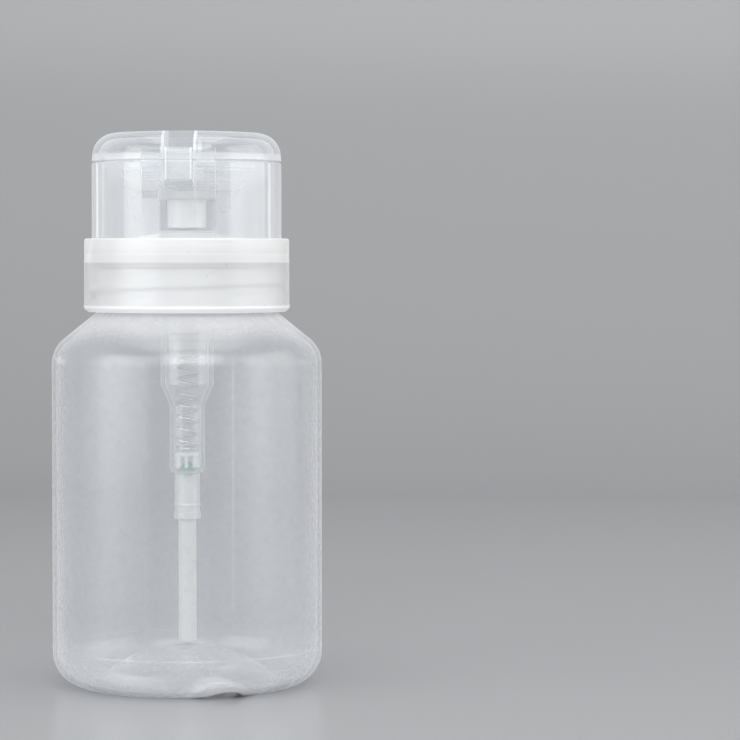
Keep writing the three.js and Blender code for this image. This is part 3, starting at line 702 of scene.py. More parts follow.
def press_bottle(point, row, angle):
    outside = row < OUTER_ROWS + len(rim) // 2
    wall = 0 if outside else BOTTLE_WALL
    radius = math.hypot(point.x, point.y)
    across = point.dot(notch_across)
    along = point.dot(notch_way)
    height = point.z
    if radius < 1e-6:
        point.z -= SEAM_DEPTH if outside else 0
        return point
    out = Vector((point.x / radius, point.y / radius, 0))
    body = HEEL_RADIUS < height < SHOULDER_TOP and radius > NECK_RADIUS + 2
    if outside and body:
        line = ridge(across, LINE_HALF) * min(1, (SHOULDER_TOP - height) / LINE_FADE)
        heel_line = ridge(height - HEEL_LINE, LINE_HALF * 1.4)
        point += out * LINE_PROUD * max(line, heel_line)
    if outside and height > SHOULDER_TOP + 0.5:
        point += out * NECK_THREAD * thread_height(angle, height, THREAD_START)
    foot = BODY_RADIUS - HEEL_RADIUS - STAND_WIDTH - PUSH_UP_WIDTH
    if outside and radius < foot and height > 0.5:
        point.z -= SEAM_DEPTH * ridge(across, SEAM_HALF) * min(1, (foot - radius) / SEAM_FADE)
    arch = NOTCH_ARCH + wall
    ease_start = BODY_RADIUS - NOTCH_REACH - wall - NOTCH_EASE
    if along > ease_start and abs(across) < arch and height < 6:
        top = NOTCH_RISE - NOTCH_ARCH + math.sqrt(arch**2 - across**2)
        ease = min(1, (along - ease_start) / NOTCH_EASE)
        point.z = max(height, wall + (top - wall) * ease)
    return point


def bottle_angles():
    """Even angles, with more near the parting plane and across the notch."""
    front = math.atan2(notch_way.y, notch_way.x)
    near_line = (0, 0.06, 0.12, 0.2, 0.28, 0.36, 0.46, 0.7, 1.1)  # degrees
    extra = [front + math.radians(step) for step in np.arange(-15, 15.1, 0.6)]
    for middle in (front, front + math.pi):
        extra += [middle + side * math.radians(step) for step in near_line for side in (-1, 1)]
    angles = even_angles(200) + [angle % (2 * math.pi) for angle in extra]
    return sorted(set(round(angle, 6) for angle in angles))


bottle = turned("bottle_skin", bottle_outline, bottle_angles(), press_bottle)
print("bottle has", len(bottle.data.vertices), "points")

# %% [markdown]
# The wall isn't equally thick everywhere. The resin stays thick in the base, at the heel and
# near the neck, and those places look whiter. A value on each point says how thick the wall
# is there, and the material reads it. The same value paints light: the whiter curved arcs in
# the base are painted highlights, the softboxes' reflections in the domed base, and the whiter
# shoulder is partly thick resin and partly painted light of the overhead softbox. It also
# draws the whiter streak of the material along the mould's joints.

# %% Mark where the wall is thick, and paint light on the bottle
def mark_thick_and_painted_light(piece, thickness):
    """Stores on each point how much milkier than the plain wall it is, from 0 to 2."""
    values = [max(0.0, min(2.0, thickness(v.co / MM))) for v in piece.data.vertices]
    layer = piece.data.attributes.new("thick", "FLOAT", "POINT")
    layer.data.foreach_set("value", values)
    print(f"{piece.name}: {sum(1 for v in values if v > 0.05)} points in thick places")


# painted highlights: arcs where the softboxes' reflections lie in the domed base
BASE_HIGHLIGHT_ARCS = (  # radius and half width, middle and half length in degrees, strength
    (18.4, 1.5, -136, 50, 0.9), (21.2, 1.5, -60, 95, 0.5), (13.8, 1.6, 178, 42, 0.7),
    (15.0, 1.3, -48, 26, 0.5), (20.0, 1.4, 100, 80, 0.5),
)


def painted_base_highlight(point, radius):
    """How much whiter the base is painted where the softboxes' curved reflections fall."""
    angle = math.degrees(math.atan2(point.y, point.x))
    return max(
        strength * ridge(radius - ring, half) * ridge((angle - middle + 180) % 360 - 180, length)
        for ring, half, middle, length, strength in BASE_HIGHLIGHT_ARCS
    )


HEEL_WHITE, HEEL_END = 0.35, 12
BASE_WHITE, BASE_HEIGHT, BASE_RADIUS = 0.1, 9, 22.5
# the shoulder's mark is thicker resin near the neck, and painted light of the overhead softbox
SHOULDER_THICK_AND_TOP_LIGHT, SHOULDER_START, SHOULDER_FADE = 0.9, SHOULDER_TOP - 6, 5
NECK_WHITE = 0.6
NOTCH_WHITE, NOTCH_FADE, NOTCH_START, NOTCH_HALF = 1.5, 1.6, 15, 8
PARTING_WHITE, HEEL_LINE_WHITE = 0.2, 0.12


def bottle_thickness_and_painted_light(point):
    """Thick at heel, base, notch and neck, with a whiter streak at the mould's joints; painted
    highlights in the base, and painted light from above on the shoulder.
    """
    radius = math.hypot(point.x, point.y)
    across = point.dot(notch_across)
    heel = HEEL_WHITE * max(0, 1 - point.z / HEEL_END)
    in_base = point.z < BASE_HEIGHT and radius < BASE_RADIUS
    # the base's arcs are painted highlights of the softboxes
    base = BASE_WHITE + painted_base_highlight(point, radius) if in_base else 0
    # the shoulder: thick resin, and painted light from the overhead softbox
    shoulder = SHOULDER_THICK_AND_TOP_LIGHT * min(1, max(0, (point.z - SHOULDER_START) / SHOULDER_FADE))
    neck = NECK_WHITE if point.z > SHOULDER_TOP + 1 else 0
    from_arch = math.hypot(across, point.z - NOTCH_RISE + NOTCH_ARCH) - NOTCH_ARCH
    by_notch = point.dot(notch_way) > NOTCH_START and abs(across) < NOTCH_HALF
    notch = max(0, NOTCH_WHITE - from_arch / NOTCH_FADE) if by_notch else 0
    lines = 0
    if radius > BODY_RADIUS - LINE_PROUD - 0.05:
        parting = PARTING_WHITE * ridge(across, 0.4)
        lines = max(parting, HEEL_LINE_WHITE * ridge(point.z - HEEL_LINE, 0.5))
    return heel + base + shoulder + neck + notch + lines


mark_thick_and_painted_light(bottle, bottle_thickness_and_painted_light)
dress(bottle, "bottle", PLASTIC_OF["bottle"])

# %% [markdown]
# ## Collar
# The collar is one ring with a deck inside. Below the deck it carries the thread that pulls
# it down on the neck, and above the deck a rim that the guard cup snaps into. Its skirt has
# a slight draft, so that it leaves the mould, and a soft bead along the lower edge.
#
# From the side the eye looks through the deck along its whole width, so it reads as a white
# band. The veil is a surface's and can't know that, so the wall in front of the deck carries
# a mark instead, between points that are added to the skirt for it.

# %% Collar sizes and outline
collar_low, collar_high = span("collar")
COLLAR_RADIUS = collar_high.x
COLLAR_BOTTOM, COLLAR_TOP = collar_low.z, collar_high.z
COLLAR_WALL = 1.6
COLLAR_BORE = COLLAR_RADIUS - COLLAR_WALL
COLLAR_THREAD = 1.15
DECK_BOTTOM = NECK_TOP + 1.5
DECK_TOP = DECK_BOTTOM + 1.5
DECK_HOLE = 6.45
GROOVE_LOW = DECK_TOP + 0.9
GROOVE_HIGH = GROOVE_LOW + 1.5
GROOVE_DEPTH = 0.4
BEAD_TOP = COLLAR_BOTTOM + 1.5
THREAD_CROSSING = 1.85  # how far the collar's thread lies below the neck's
SKIRT_CHAMFER = 0.9
BEAD_DEPTH = 0.08
SKIRT_FOOT = BEAD_TOP + 0.15
DRAFT = 0.12  # how much narrower the skirt's top is than its bead
DECK_MARK = (DECK_BOTTOM - 0.4, DECK_BOTTOM, DECK_TOP + 0.2, DECK_TOP + 0.6)


def skirt_radius(height):
    """The collar's outer radius, which the draft narrows on the way up."""
    share = (height - SKIRT_FOOT) / (COLLAR_TOP - SKIRT_FOOT)
    return COLLAR_RADIUS - BEAD_DEPTH - (DRAFT - BEAD_DEPTH) * share


collar_wall_rows = [
    (COLLAR_BORE, z) for z in np.linspace(DECK_BOTTOM - 0.5, COLLAR_BOTTOM + 0.6, 44)
]
collar_profile = rounded([
    (COLLAR_BORE, COLLAR_BOTTOM),
    (COLLAR_RADIUS - SKIRT_CHAMFER, COLLAR_BOTTOM),
    (COLLAR_RADIUS, COLLAR_BOTTOM + SKIRT_CHAMFER),
    (COLLAR_RADIUS, BEAD_TOP),
    (COLLAR_RADIUS - BEAD_DEPTH, SKIRT_FOOT),
    *[(skirt_radius(height), height) for height in DECK_MARK],
    (COLLAR_RADIUS - DRAFT, COLLAR_TOP),
    (COLLAR_BORE, COLLAR_TOP),
    (COLLAR_BORE, GROOVE_HIGH),
    (COLLAR_BORE + GROOVE_DEPTH, GROOVE_HIGH),
    (COLLAR_BORE + GROOVE_DEPTH, GROOVE_LOW),
    (COLLAR_BORE, GROOVE_LOW),
    (COLLAR_BORE, DECK_TOP),
    (DECK_HOLE, DECK_TOP),
    (DECK_HOLE, DECK_BOTTOM),
    (COLLAR_BORE, DECK_BOTTOM),
], 0.5)
collar_outline = collar_profile + collar_wall_rows


def press_collar(point, row, angle):
    if row >= len(collar_profile):
        radius = math.hypot(point.x, point.y)
        rise = thread_height(angle, point.z, THREAD_START - THREAD_CROSSING)
        point.xy = point.xy * (1 - COLLAR_THREAD * rise / radius)
    return point


BEAD_WHITE, DECK_WHITE, COLLAR_RIM_WHITE = 0.9, 0.75, 0.55


def collar_thickness(point):
    """Thick at the bead, in front of the deck and in the rim above it."""
    if point.z < BEAD_TOP:
        return BEAD_WHITE
    outside = math.hypot(point.x, point.y) > COLLAR_RADIUS - 0.3
    if outside and DECK_BOTTOM - 0.1 < point.z < DECK_TOP + 0.3:
        return DECK_WHITE
    return COLLAR_RIM_WHITE if point.z > DECK_BOTTOM else 0


collar = turned("collar_skin", collar_outline, even_angles(180), press_collar)
mark_thick_and_painted_light(collar, collar_thickness)
dress(collar, "collar", PLASTIC_OF["collar"])

# %% [markdown]
# ## Gaskets
# The liner between the neck and the deck, and the washer under the pump's flange, are rings
# punched from foamed sheet. Punching leaves crisp edges, so their corners are barely round.

# %% Neck gasket and pump gasket
def washer(name, node, bore, edge):
    low, high = span(node)
    outline = [(bore, low.z), (high.x, low.z), (high.x, high.z), (bore, high.z)]
    ring = turned(name, rounded(outline, edge), even_angles(120))
    return dress(ring, node, liner_foam)


washer("neck_gasket_skin", "neck_gasket", NECK_BORE - 0.8, 0.12)
washer("pump_gasket_skin", "pump_gasket", DECK_HOLE, 0.1)

# %% [markdown]
# ## Guard cup
# The cup is a clear open cylinder. Its floor rises to a hub that guides the press dish, a
# bead round its foot snaps into the collar, and on the hinge's side the wall is thickened to
# a flat panel, with a slot for the strap. The floor is marked thick, and so are the walls of
# the slot, which are seen along their length.

# %% Guard cup sizes
cup_low, cup_high = span("guard_cup")
CUP_FOOT, CUP_TOP = cup_low.z, cup_high.z
CUP_RADIUS = COLLAR_BORE - CLEARANCE
CUP_WALL = 1.45
CUP_BORE = CUP_RADIUS - CUP_WALL
CUP_FLOOR = CUP_FOOT + 3.1
CUP_FLOOR_THICKNESS = 1.3
CONE_RADIUS = 13.0
CONE_RISE = 0.6
HUB_RADIUS = 6.5
HUB_FOOT = CUP_FLOOR + CONE_RISE + 1.0
HUB_TOP = HUB_FOOT + 0.6
GUIDE_BORE = 4.85
flange_high = span("pump_housing")[1]
FLANGE_RADIUS, FLANGE_TOP = flange_high.x, flange_high.z
BEAD_LOW = CUP_FOOT + 0.9
BEAD_HEIGHT = 0.9
BEAD_PROUD = 0.4
HINGE_FACE = CUP_RADIUS + 0.25
PANEL_HALF = 8.3
PANEL_HEIGHT = 8.3
SLOT_HALF = 3.3
SLOT_FACE = HINGE_FACE - 0.7
SLOT_DROP = 4.4

# %% Guard cup skin
cup_outline = rounded([
    (CUP_BORE, CUP_FOOT),
    (CUP_RADIUS, CUP_FOOT),
    (CUP_RADIUS, BEAD_LOW),
    (CUP_RADIUS + BEAD_PROUD, BEAD_LOW + 0.2),
    (CUP_RADIUS + BEAD_PROUD, BEAD_LOW + BEAD_HEIGHT - 0.2),
    (CUP_RADIUS, BEAD_LOW + BEAD_HEIGHT),
    (CUP_RADIUS, CUP_TOP),
    (CUP_BORE, CUP_TOP),
    (CUP_BORE, CUP_FLOOR),
    (CONE_RADIUS, CUP_FLOOR + CONE_RISE),
    (HUB_RADIUS, HUB_FOOT),
    (HUB_RADIUS, HUB_TOP),
    (GUIDE_BORE, HUB_TOP),
    (GUIDE_BORE, FLANGE_TOP + CLEARANCE),
    (FLANGE_RADIUS, FLANGE_TOP + CLEARANCE),
    (FLANGE_RADIUS + 0.3, CUP_FLOOR + CONE_RISE - CUP_FLOOR_THICKNESS),
    (CONE_RADIUS, CUP_FLOOR + CONE_RISE - CUP_FLOOR_THICKNESS),
    (CUP_BORE, CUP_FLOOR - CUP_FLOOR_THICKNESS),
], 0.25)
cup = turned("guard_cup_skin", cup_outline, even_angles(180))
panel = block(
    "panel", (-PANEL_HALF, -HINGE_FACE, CUP_TOP - PANEL_HEIGHT),
    (PANEL_HALF, -CUP_BORE / 2, CUP_TOP - PARTING_GAP), 0.2,
)
inside = turned("inside", [
    (0, CUP_FOOT), (CUP_BORE + CUP_WALL / 2, CUP_FOOT),
    (CUP_BORE + CUP_WALL / 2, CUP_TOP + 2), (0, CUP_TOP + 2),
], even_angles(180))
carve(panel, inside, "DIFFERENCE")
carve(cup, panel, "UNION")
strap_slot = block(
    "slot", (-SLOT_HALF, -HINGE_FACE - 2, CUP_TOP - SLOT_DROP),
    (SLOT_HALF, -SLOT_FACE, CUP_TOP + 2), 0.15,
)
carve(cup, strap_slot, "DIFFERENCE")
EDGE_ON = 0.6  # how wide a wall reads that is seen along its length
CUP_FLOOR_WHITE, SLOT_WHITE, CUP_FOOT_WHITE, CUP_TOP_WHITE = 0.7, 0.8, 0.4, 0.45
score(score(cup, SLOT_HALF + EDGE_ON), SLOT_HALF + EDGE_ON + 0.1)


def beside_slot(point):
    """Whether a point lies in the two walls beside the strap's slot."""
    in_wall = SLOT_HALF - 0.05 < abs(point.x) < SLOT_HALF + EDGE_ON + 0.05
    return in_wall and point.y < -CUP_BORE / 2


def cup_thickness(point):
    """Thick in the floor and its hub, beside the slot, at the foot and at the very top."""
    if math.hypot(point.x, point.y) < CUP_BORE - 0.2 and point.z < HUB_TOP + 0.2:
        return CUP_FLOOR_WHITE
    if beside_slot(point) and point.z > CUP_TOP - SLOT_DROP - 0.5:
        return SLOT_WHITE
    return CUP_FOOT_WHITE if point.z < CUP_FLOOR else CUP_TOP_WHITE * ridge(point.z - CUP_TOP, 0.8)


mark_thick_and_painted_light(cup, cup_thickness)
dress(cup, "guard_cup", PLASTIC_OF["guard_cup"])

# %% [markdown]
# ## Lid
# The lid is a shallow dome with a thick rim. A ring under the rim centres it in the cup, a
# crescent tab opposite the hinge lifts it, and a deep channel on the hinge's side lets the
# strap reach the pull-in point that makes the lid snap open.

# %% Lid sizes
lid_low, lid_high = span("lid")
LID_TOP = lid_high.z
LID_EDGE = CUP_TOP + 0.4
LID_CORNER = 5.2
LID_CROWN = 0.5
LID_DRAFT = 0.15
LID_WALL = 1.4
RIM_TOP = LID_EDGE + 1.5
PLUG_OUTER = CUP_BORE - 0.4
PLUG_INNER = PLUG_OUTER - 1.0
PLUG_FOOT = lid_low.z
CHANNEL_END = 13.2 - HINGE_FACE
CHANNEL_FLOOR = LID_EDGE + 1.8
CHANNEL_WALL = 0.9
PAD_INNER = 2.0
PAD_OUTER = 2.6
TAB_RADIUS = 13.5
TAB_REACH = lid_high.y
TAB_THICKNESS = 1.2

# %% Lid skin
LID_RADIUS = CUP_RADIUS - LID_DRAFT


def lid_side(inset):
    """The outside of the lid, from its straight side to the middle of its top."""
    centre = LID_RADIUS - LID_CORNER
    edge_top = LID_TOP - LID_CROWN
    corner = arc(centre, edge_top - LID_CORNER, LID_CORNER - inset, 0, math.pi / 2, 12)
    crown = [
        (centre * (1 - k / 8), edge_top - inset + LID_CROWN * math.sin(math.pi * k / 16))
        for k in range(1, 8)
    ]
    return [*corner, *crown, (0, LID_TOP - inset)]


rim_part = rounded([
    (LID_RADIUS - LID_WALL, RIM_TOP + 2),
    (LID_RADIUS - LID_WALL, RIM_TOP),
    (PLUG_INNER, RIM_TOP),
    (PLUG_INNER, PLUG_FOOT),
    (PLUG_OUTER, PLUG_FOOT),
    (PLUG_OUTER, LID_EDGE),
    (CUP_RADIUS, LID_EDGE),
    (LID_RADIUS, LID_EDGE + 1.2),
    (LID_RADIUS, LID_EDGE + 1.6),
], 0.25, open_ends=True)[1:-1]
inner_dome = [point for point in lid_side(LID_WALL) if point[1] > RIM_TOP + 0.25]
lid_outline = inner_dome[::-1] + rim_part + lid_side(0)
lid = turned("lid_skin", lid_outline, even_angles(180))

mid_wall = turned("mid wall", [
    (0, LID_EDGE), (LID_RADIUS - LID_WALL / 2, LID_EDGE), *lid_side(LID_WALL / 2),
], even_angles(180))
housing = block(
    "channel housing",
    (-SLOT_HALF - CHANNEL_WALL, -CUP_RADIUS, CHANNEL_FLOOR - CHANNEL_WALL),
    (SLOT_HALF + CHANNEL_WALL, CHANNEL_END + CHANNEL_WALL, LID_TOP + 2), 0.3,
)
carve(housing, mid_wall, "INTERSECT")
carve(lid, housing, "UNION")
print("lid with its channel housing:", len(lid.data.polygons), "faces")

# %% [markdown]
# The pad behind the strap has a flat face in line with the cup's panel, and its upper edge
# climbs away from the strap on both sides. The tab is a slice of a disc that sticks out of
# the rim. Both start inside the rim's solid wall, so they join it cleanly.

# %% Hinge pad, thumb tab and channel of the lid
WALL_MIDDLE = CUP_BORE + CUP_WALL / 2
pad_foot = LID_EDGE + PARTING_GAP
pad = prism("pad", rounded([
    (-PANEL_HALF, pad_foot),
    (PANEL_HALF, pad_foot),
    (PANEL_HALF, LID_EDGE + PAD_OUTER),
    (SLOT_HALF, LID_EDGE + PAD_INNER),
    (-SLOT_HALF, LID_EDGE + PAD_INNER),
    (-PANEL_HALF, LID_EDGE + PAD_OUTER),
], 0.25), -HINGE_FACE, -PLUG_OUTER + LID_WALL, "xzy")


def wall_core():
    """What lies inside the middle of the rim's wall, where pad and tab must not reach."""
    return turned("wall core", [
        (0, LID_EDGE - 2), (WALL_MIDDLE, LID_EDGE - 2), (WALL_MIDDLE, LID_TOP), (0, LID_TOP),
    ], even_angles(180))


carve(pad, wall_core(), "DIFFERENCE")
carve(lid, pad, "UNION")
tab = turned("tab", rounded([
    (0, pad_foot), (TAB_RADIUS, pad_foot),
    (TAB_RADIUS, LID_EDGE + TAB_THICKNESS), (0, LID_EDGE + TAB_THICKNESS),
], 0.4, open_ends=True), even_angles(180))
tab.data.transform(Matrix.Translation(Vector((0, TAB_REACH - TAB_RADIUS, 0)) * MM))
carve(tab, wall_core(), "DIFFERENCE")
carve(lid, tab, "UNION")
channel = block(
    "channel", (-SLOT_HALF, -HINGE_FACE - 2, CHANNEL_FLOOR),
    (SLOT_HALF, CHANNEL_END, LID_TOP + 2), 0.25,
)
carve(lid, channel, "DIFFERENCE")
lid_slot = block(
    "lid slot", (-SLOT_HALF, -HINGE_FACE - 2, LID_EDGE - 2), (SLOT_HALF, -SLOT_FACE, LID_TOP), 0,
)
carve(lid, lid_slot, "DIFFERENCE")
score(score(lid, SLOT_HALF + EDGE_ON), SLOT_HALF + EDGE_ON + 0.1)
LID_RIM_WHITE = 0.75


def lid_thickness(point):
    """Thick beside the slot, and in the rim with its plug ring."""
    if beside_slot(point):
        return SLOT_WHITE
    return LID_RIM_WHITE if point.z < RIM_TOP + 0.1 else 0


mark_thick_and_painted_light(lid, lid_thickness)
dress(lid, "lid", PLASTIC_OF["lid"])

# %% [markdown]
# ## Butterfly hinge
# Strap and leaves are so thin that they bend in place of turning on a pin. When the lid
# opens they must stay joined to both sides. Their skins aren't attached to a body here: they
# keep their place in the scene. Their skins have many rows of points near the lid's line, so
# that a bend there would be round.

# %% Hinge strap
STRAP_HALF = 3.0
STRAP_THICKNESS = 0.5
STRAP_LAP = 2.3
STRAP_BEND = 0.9
LID_LINE = (CUP_TOP + LID_EDGE) / 2
strap_low, strap_high = span("hinge_strap")


def strap_side(offset):
    """One face of the strap, offset inwards from its outer face."""
    outer = SLOT_FACE + CLEARANCE + STRAP_THICKNESS - offset
    top = strap_high.z - offset
    bend = max(0.1, STRAP_BEND - offset)
    centre_y, centre_z = -(outer - bend), top - bend
    corner = [
        (centre_y - bend * math.cos(a), centre_z + bend * math.sin(a))
        for a in np.linspace(0, math.pi / 2, 9)
    ]
    thin = 0.12 if offset == 0 else -0.02  # how deep the fold line is pressed into each face
    fold = [
        (-outer + thin * ridge(z - LID_LINE, 0.5), z)
        for z in np.linspace(LID_LINE - 0.5, LID_LINE + 0.5, 11)
    ]
    end = -(SLOT_FACE + CLEARANCE) + STRAP_LAP
    return [(-outer, strap_low.z), *fold, *corner, (end, top)]


strap_outline = rounded(strap_side(0) + strap_side(STRAP_THICKNESS)[::-1], 0.08, 2)
strap = prism("hinge_strap_skin", strap_outline, -STRAP_HALF, STRAP_HALF, "yzx")
score(score(strap, STRAP_HALF - 0.35), STRAP_HALF - 0.45)  # its two sides are marked thick
mark_thick_and_painted_light(strap, lambda p: 0.9 if abs(p.x) > STRAP_HALF - 0.4 else 0)
dress(strap, "hinge_strap", PLASTIC_OF["hinge_strap"], bends=True)

# %% Hinge leaves
LEAF_FOLD = 0.2  # how deep the fold line is pressed into the outer face
LEAF_SLANT = 0.5


def leaf(name, node):
    """A thin plate with a fold line across it and an upper edge that climbs outwards."""
    low, high = span(node)
    near, far = (low.x, high.x) if low.x > 0 else (high.x, low.x)
    columns, rows = 9, 25
    points, faces = [], []
    for face_y, fold_depth in ((low.y, LEAF_FOLD), (high.y, 0)):
        for x in np.linspace(near, far, columns):
            climb = LEAF_SLANT * (1 - abs(x - near) / abs(far - near))
            for z in np.linspace(low.z + climb * 0.6, high.z - climb, rows):
                fold = fold_depth * ridge(z - LID_LINE, 0.4)
                points.append(Vector((x, face_y + fold, z)) * MM)
    sheet = columns * rows
    for start in (0, sheet):
        for i in range(columns - 1):
            for k in range(rows - 1):
                a = start + i * rows + k
                faces.append((a, a + rows, a + rows + 1, a + 1))
    edge = [i * rows for i in range(columns)]
    edge += [(columns - 1) * rows + k for k in range(1, rows)]
    edge += [i * rows + rows - 1 for i in range(columns - 2, -1, -1)]
    edge += range(rows - 2, 0, -1)
    for i, a in enumerate(edge):
        b = edge[(i + 1) % len(edge)]
        faces.append((a, b, b + sheet, a + sheet))
    return dress(made(name, points, faces), node, PLASTIC_OF[node], bends=True)


leaf("hinge_leaf_left_skin", "hinge_leaf_left")
leaf("hinge_leaf_right_skin", "hinge_leaf_right")

# %% [markdown]
# ## Press dish and nozzle
# The dish is what a finger and a cotton pad push down. Its floor is flat round the nozzle,
# then slopes up to an outer ring with a fine raised edge. Under the floor a hub takes the
# stem, and a thin skirt round the stem slides in the cup's guide.

# %% Dish sizes and skin
dish_low, dish_high = span("dish")
DISH_RADIUS = dish_high.x
DISH_RIM_TOP = dish_high.z
DISH_RIM_HEIGHT = 0.9
DISH_RIM_WIDTH = 0.6
DISH_RING_WIDTH = 2.9
DISH_SLOPE_WIDTH = 3.6
DISH_SLOPE_RISE = 2.0
DISH_WALL = 1.3
DISH_HUB = 6.7
DISH_HUB_HEIGHT = 2.2
SKIRT_RADIUS = 4.45
STEM_RADIUS = span("stem")[1].x
STEM_SOCKET = STEM_RADIUS + CLEARANCE
SPIGOT_RADIUS = 2.15
SPIGOT_DEPTH = 1.7
slope_top = DISH_RIM_TOP - DISH_RIM_HEIGHT
DISH_FLOOR = slope_top - DISH_SLOPE_RISE
slope_radius = DISH_RADIUS - DISH_RING_WIDTH
flat_radius = slope_radius - DISH_SLOPE_WIDTH
rim_inner = DISH_RADIUS - DISH_RIM_WIDTH
hub_top = DISH_FLOOR - DISH_WALL
hub_bottom = hub_top - DISH_HUB_HEIGHT
socket_top = DISH_FLOOR - SPIGOT_DEPTH

dish_outline = rounded([
    (STEM_SOCKET, dish_low.z),
    (SKIRT_RADIUS, dish_low.z),
    (SKIRT_RADIUS, hub_bottom),
    (DISH_HUB, hub_bottom),
    (DISH_HUB, hub_top),
    (flat_radius, hub_top),
    (slope_radius, slope_top - DISH_WALL),
    (rim_inner, slope_top - DISH_WALL),
    (DISH_RADIUS, slope_top),
    (DISH_RADIUS, DISH_RIM_TOP),
    (rim_inner, DISH_RIM_TOP),
    (rim_inner - DISH_RIM_WIDTH, slope_top),
    (slope_radius, slope_top),
    (flat_radius, DISH_FLOOR),
    (SPIGOT_RADIUS + CLEARANCE, DISH_FLOOR),
    (SPIGOT_RADIUS + CLEARANCE, socket_top),
    (STEM_SOCKET, socket_top),
], 0.35)
dish = turned("dish_skin", dish_outline, even_angles(160))


SKIRT_WHITE, DISH_HUB_WHITE = 1.6, 0.5


def dish_thickness(point):
    """Thick in the hub, and most in the skirt, which lies close round the white stem."""
    radius = math.hypot(point.x, point.y)
    if radius < SKIRT_RADIUS + 0.1 and point.z < socket_top:
        return SKIRT_WHITE
    return DISH_HUB_WHITE if radius < DISH_HUB + 0.1 and point.z < hub_top else 0


mark_thick_and_painted_light(dish, dish_thickness)
dress(dish, "dish", PLASTIC_OF["dish"])

# %% [markdown]
# The nozzle is a small dome with a ring of outlet holes. The holes repeat, so a Geometry
# Nodes tree sets them out: it puts one pin on each point of a circle, and the pins are then
# cut from the dome, as core pins keep the holes open in the mould. Changing the count or the
# circle is then one number. The same tree makes square bars for the ball cage further on.

# %% Geometry Nodes helpers
def new_tree(name, **inputs):
    """A Geometry Nodes tree and its inputs, each named in the call with its socket type."""
    tree = bpy.data.node_groups.new(name, "GeometryNodeTree")
    tree.interface.new_socket("Geometry", in_out="OUTPUT", socket_type="NodeSocketGeometry")
    for label, kind in {**inputs, "material": "Material"}.items():
        tree.interface.new_socket(
            label.capitalize().replace("_", " "), in_out="INPUT", socket_type=f"NodeSocket{kind}",
        )
    return tree, add(tree, "NodeGroupInput").outputs


def end_tree(tree, geometry, material):
    """Makes instances real, gives them the material and hands the geometry out."""
    real = add(tree, "GeometryNodeRealizeInstances", {"Geometry": geometry}).outputs["Geometry"]
    named = add(tree, "GeometryNodeSetMaterial", {
        "Geometry": real, "Material": material,
    }).outputs["Geometry"]
    add(tree, "NodeGroupOutput", {"Geometry": named})
    return tree


def grown(name, tree, **given):
    """A plain mesh object made by a Geometry Nodes tree with these inputs."""
    piece = bpy.data.objects.new(name, bpy.data.meshes.new(name))
    scene.collection.objects.link(piece)
    step = piece.modifiers.new("nodes", "NODES")
    step.node_group = tree
    for socket in tree.interface.items_tree:
        value = given.get(socket.name.lower().replace(" ", "_"))
        if socket.in_out == "INPUT" and value is not None:
            step[socket.identifier] = value
    return settle(piece)


print("tree helpers are ready")

# %% Pins on a circle
def circle_tree():
    tree, given = new_tree(
        "pins on a circle", count="Int", circle_radius="Float", middle_height="Float",
        size="Vector", round="Bool",
    )
    ring = add(tree, "GeometryNodeMeshCircle", {
        "Vertices": given["Count"], "Radius": given["Circle radius"],
    }).outputs["Mesh"]
    outward = add(tree, "GeometryNodeInputPosition").outputs["Position"]
    turn = add(tree, "FunctionNodeAlignRotationToVector", {"Vector": outward}, axis="X").outputs[0]
    size = add(tree, "ShaderNodeSeparateXYZ", {"Vector": given["Size"]}).outputs
    leg = add(tree, "GeometryNodeMeshCube", {"Size": given["Size"]}).outputs["Mesh"]
    pin = add(tree, "GeometryNodeMeshCylinder", {
        "Vertices": 24, "Radius": calculated(tree, "MULTIPLY", size["X"], 0.5),
        "Depth": size["Z"],
    }).outputs["Mesh"]
    kind = add(tree, "GeometryNodeSwitch", {
        "Switch": given["Round"], "False": leg, "True": pin,
    }, input_type="GEOMETRY").outputs[0]
    placed = add(tree, "GeometryNodeInstanceOnPoints", {
        "Points": ring, "Instance": kind, "Rotation": turn,
    }).outputs["Instances"]
    lift = add(tree, "ShaderNodeCombineXYZ", {"Z": given["Middle height"]}).outputs[0]
    raised = add(tree, "GeometryNodeTransform", {
        "Geometry": placed, "Translation": lift,
    }).outputs["Geometry"]
    return end_tree(tree, raised, given["Material"])


pins = circle_tree()
print("tree:", pins.name, "with", len(pins.nodes), "nodes")

# %% Nozzle
nozzle_low, nozzle_high = span("nozzle")
NOZZLE_RADIUS = nozzle_high.x
NOZZLE_TOP = nozzle_high.z
NOZZLE_FOOT = DISH_FLOOR + CLEARANCE
NOZZLE_WALL = 1.1
NOZZLE_CROWN = 0.9
NOZZLE_ARC = 8.4  # radius of the dome
OUTLET_BORE = 1.55
OUTLET_HOLE = 1.0  # across
OUTLET_CIRCLE = 1.6
CHAMBER_RADIUS = NOZZLE_RADIUS - NOZZLE_WALL
dome_end = math.acos((NOZZLE_RADIUS - 0.5) / NOZZLE_ARC)
nozzle_dome = arc(0, NOZZLE_TOP - NOZZLE_ARC, NOZZLE_ARC, math.pi / 2, dome_end, 8)
nozzle_outline = [
    *nozzle_dome[:-1],
    *rounded([
        nozzle_dome[-2], (NOZZLE_RADIUS, NOZZLE_TOP - NOZZLE_CROWN), (NOZZLE_RADIUS, NOZZLE_FOOT),
        (SPIGOT_RADIUS, NOZZLE_FOOT), (SPIGOT_RADIUS, nozzle_low.z), (OUTLET_BORE, nozzle_low.z),
        (OUTLET_BORE, NOZZLE_FOOT + NOZZLE_WALL), (CHAMBER_RADIUS, NOZZLE_FOOT + NOZZLE_WALL),
        (CHAMBER_RADIUS, NOZZLE_TOP - 1.5 * NOZZLE_CROWN),
        (NOZZLE_RADIUS / 2, NOZZLE_TOP - NOZZLE_WALL), (0, NOZZLE_TOP - NOZZLE_WALL),
    ], 0.5, open_ends=True)[1:],
]
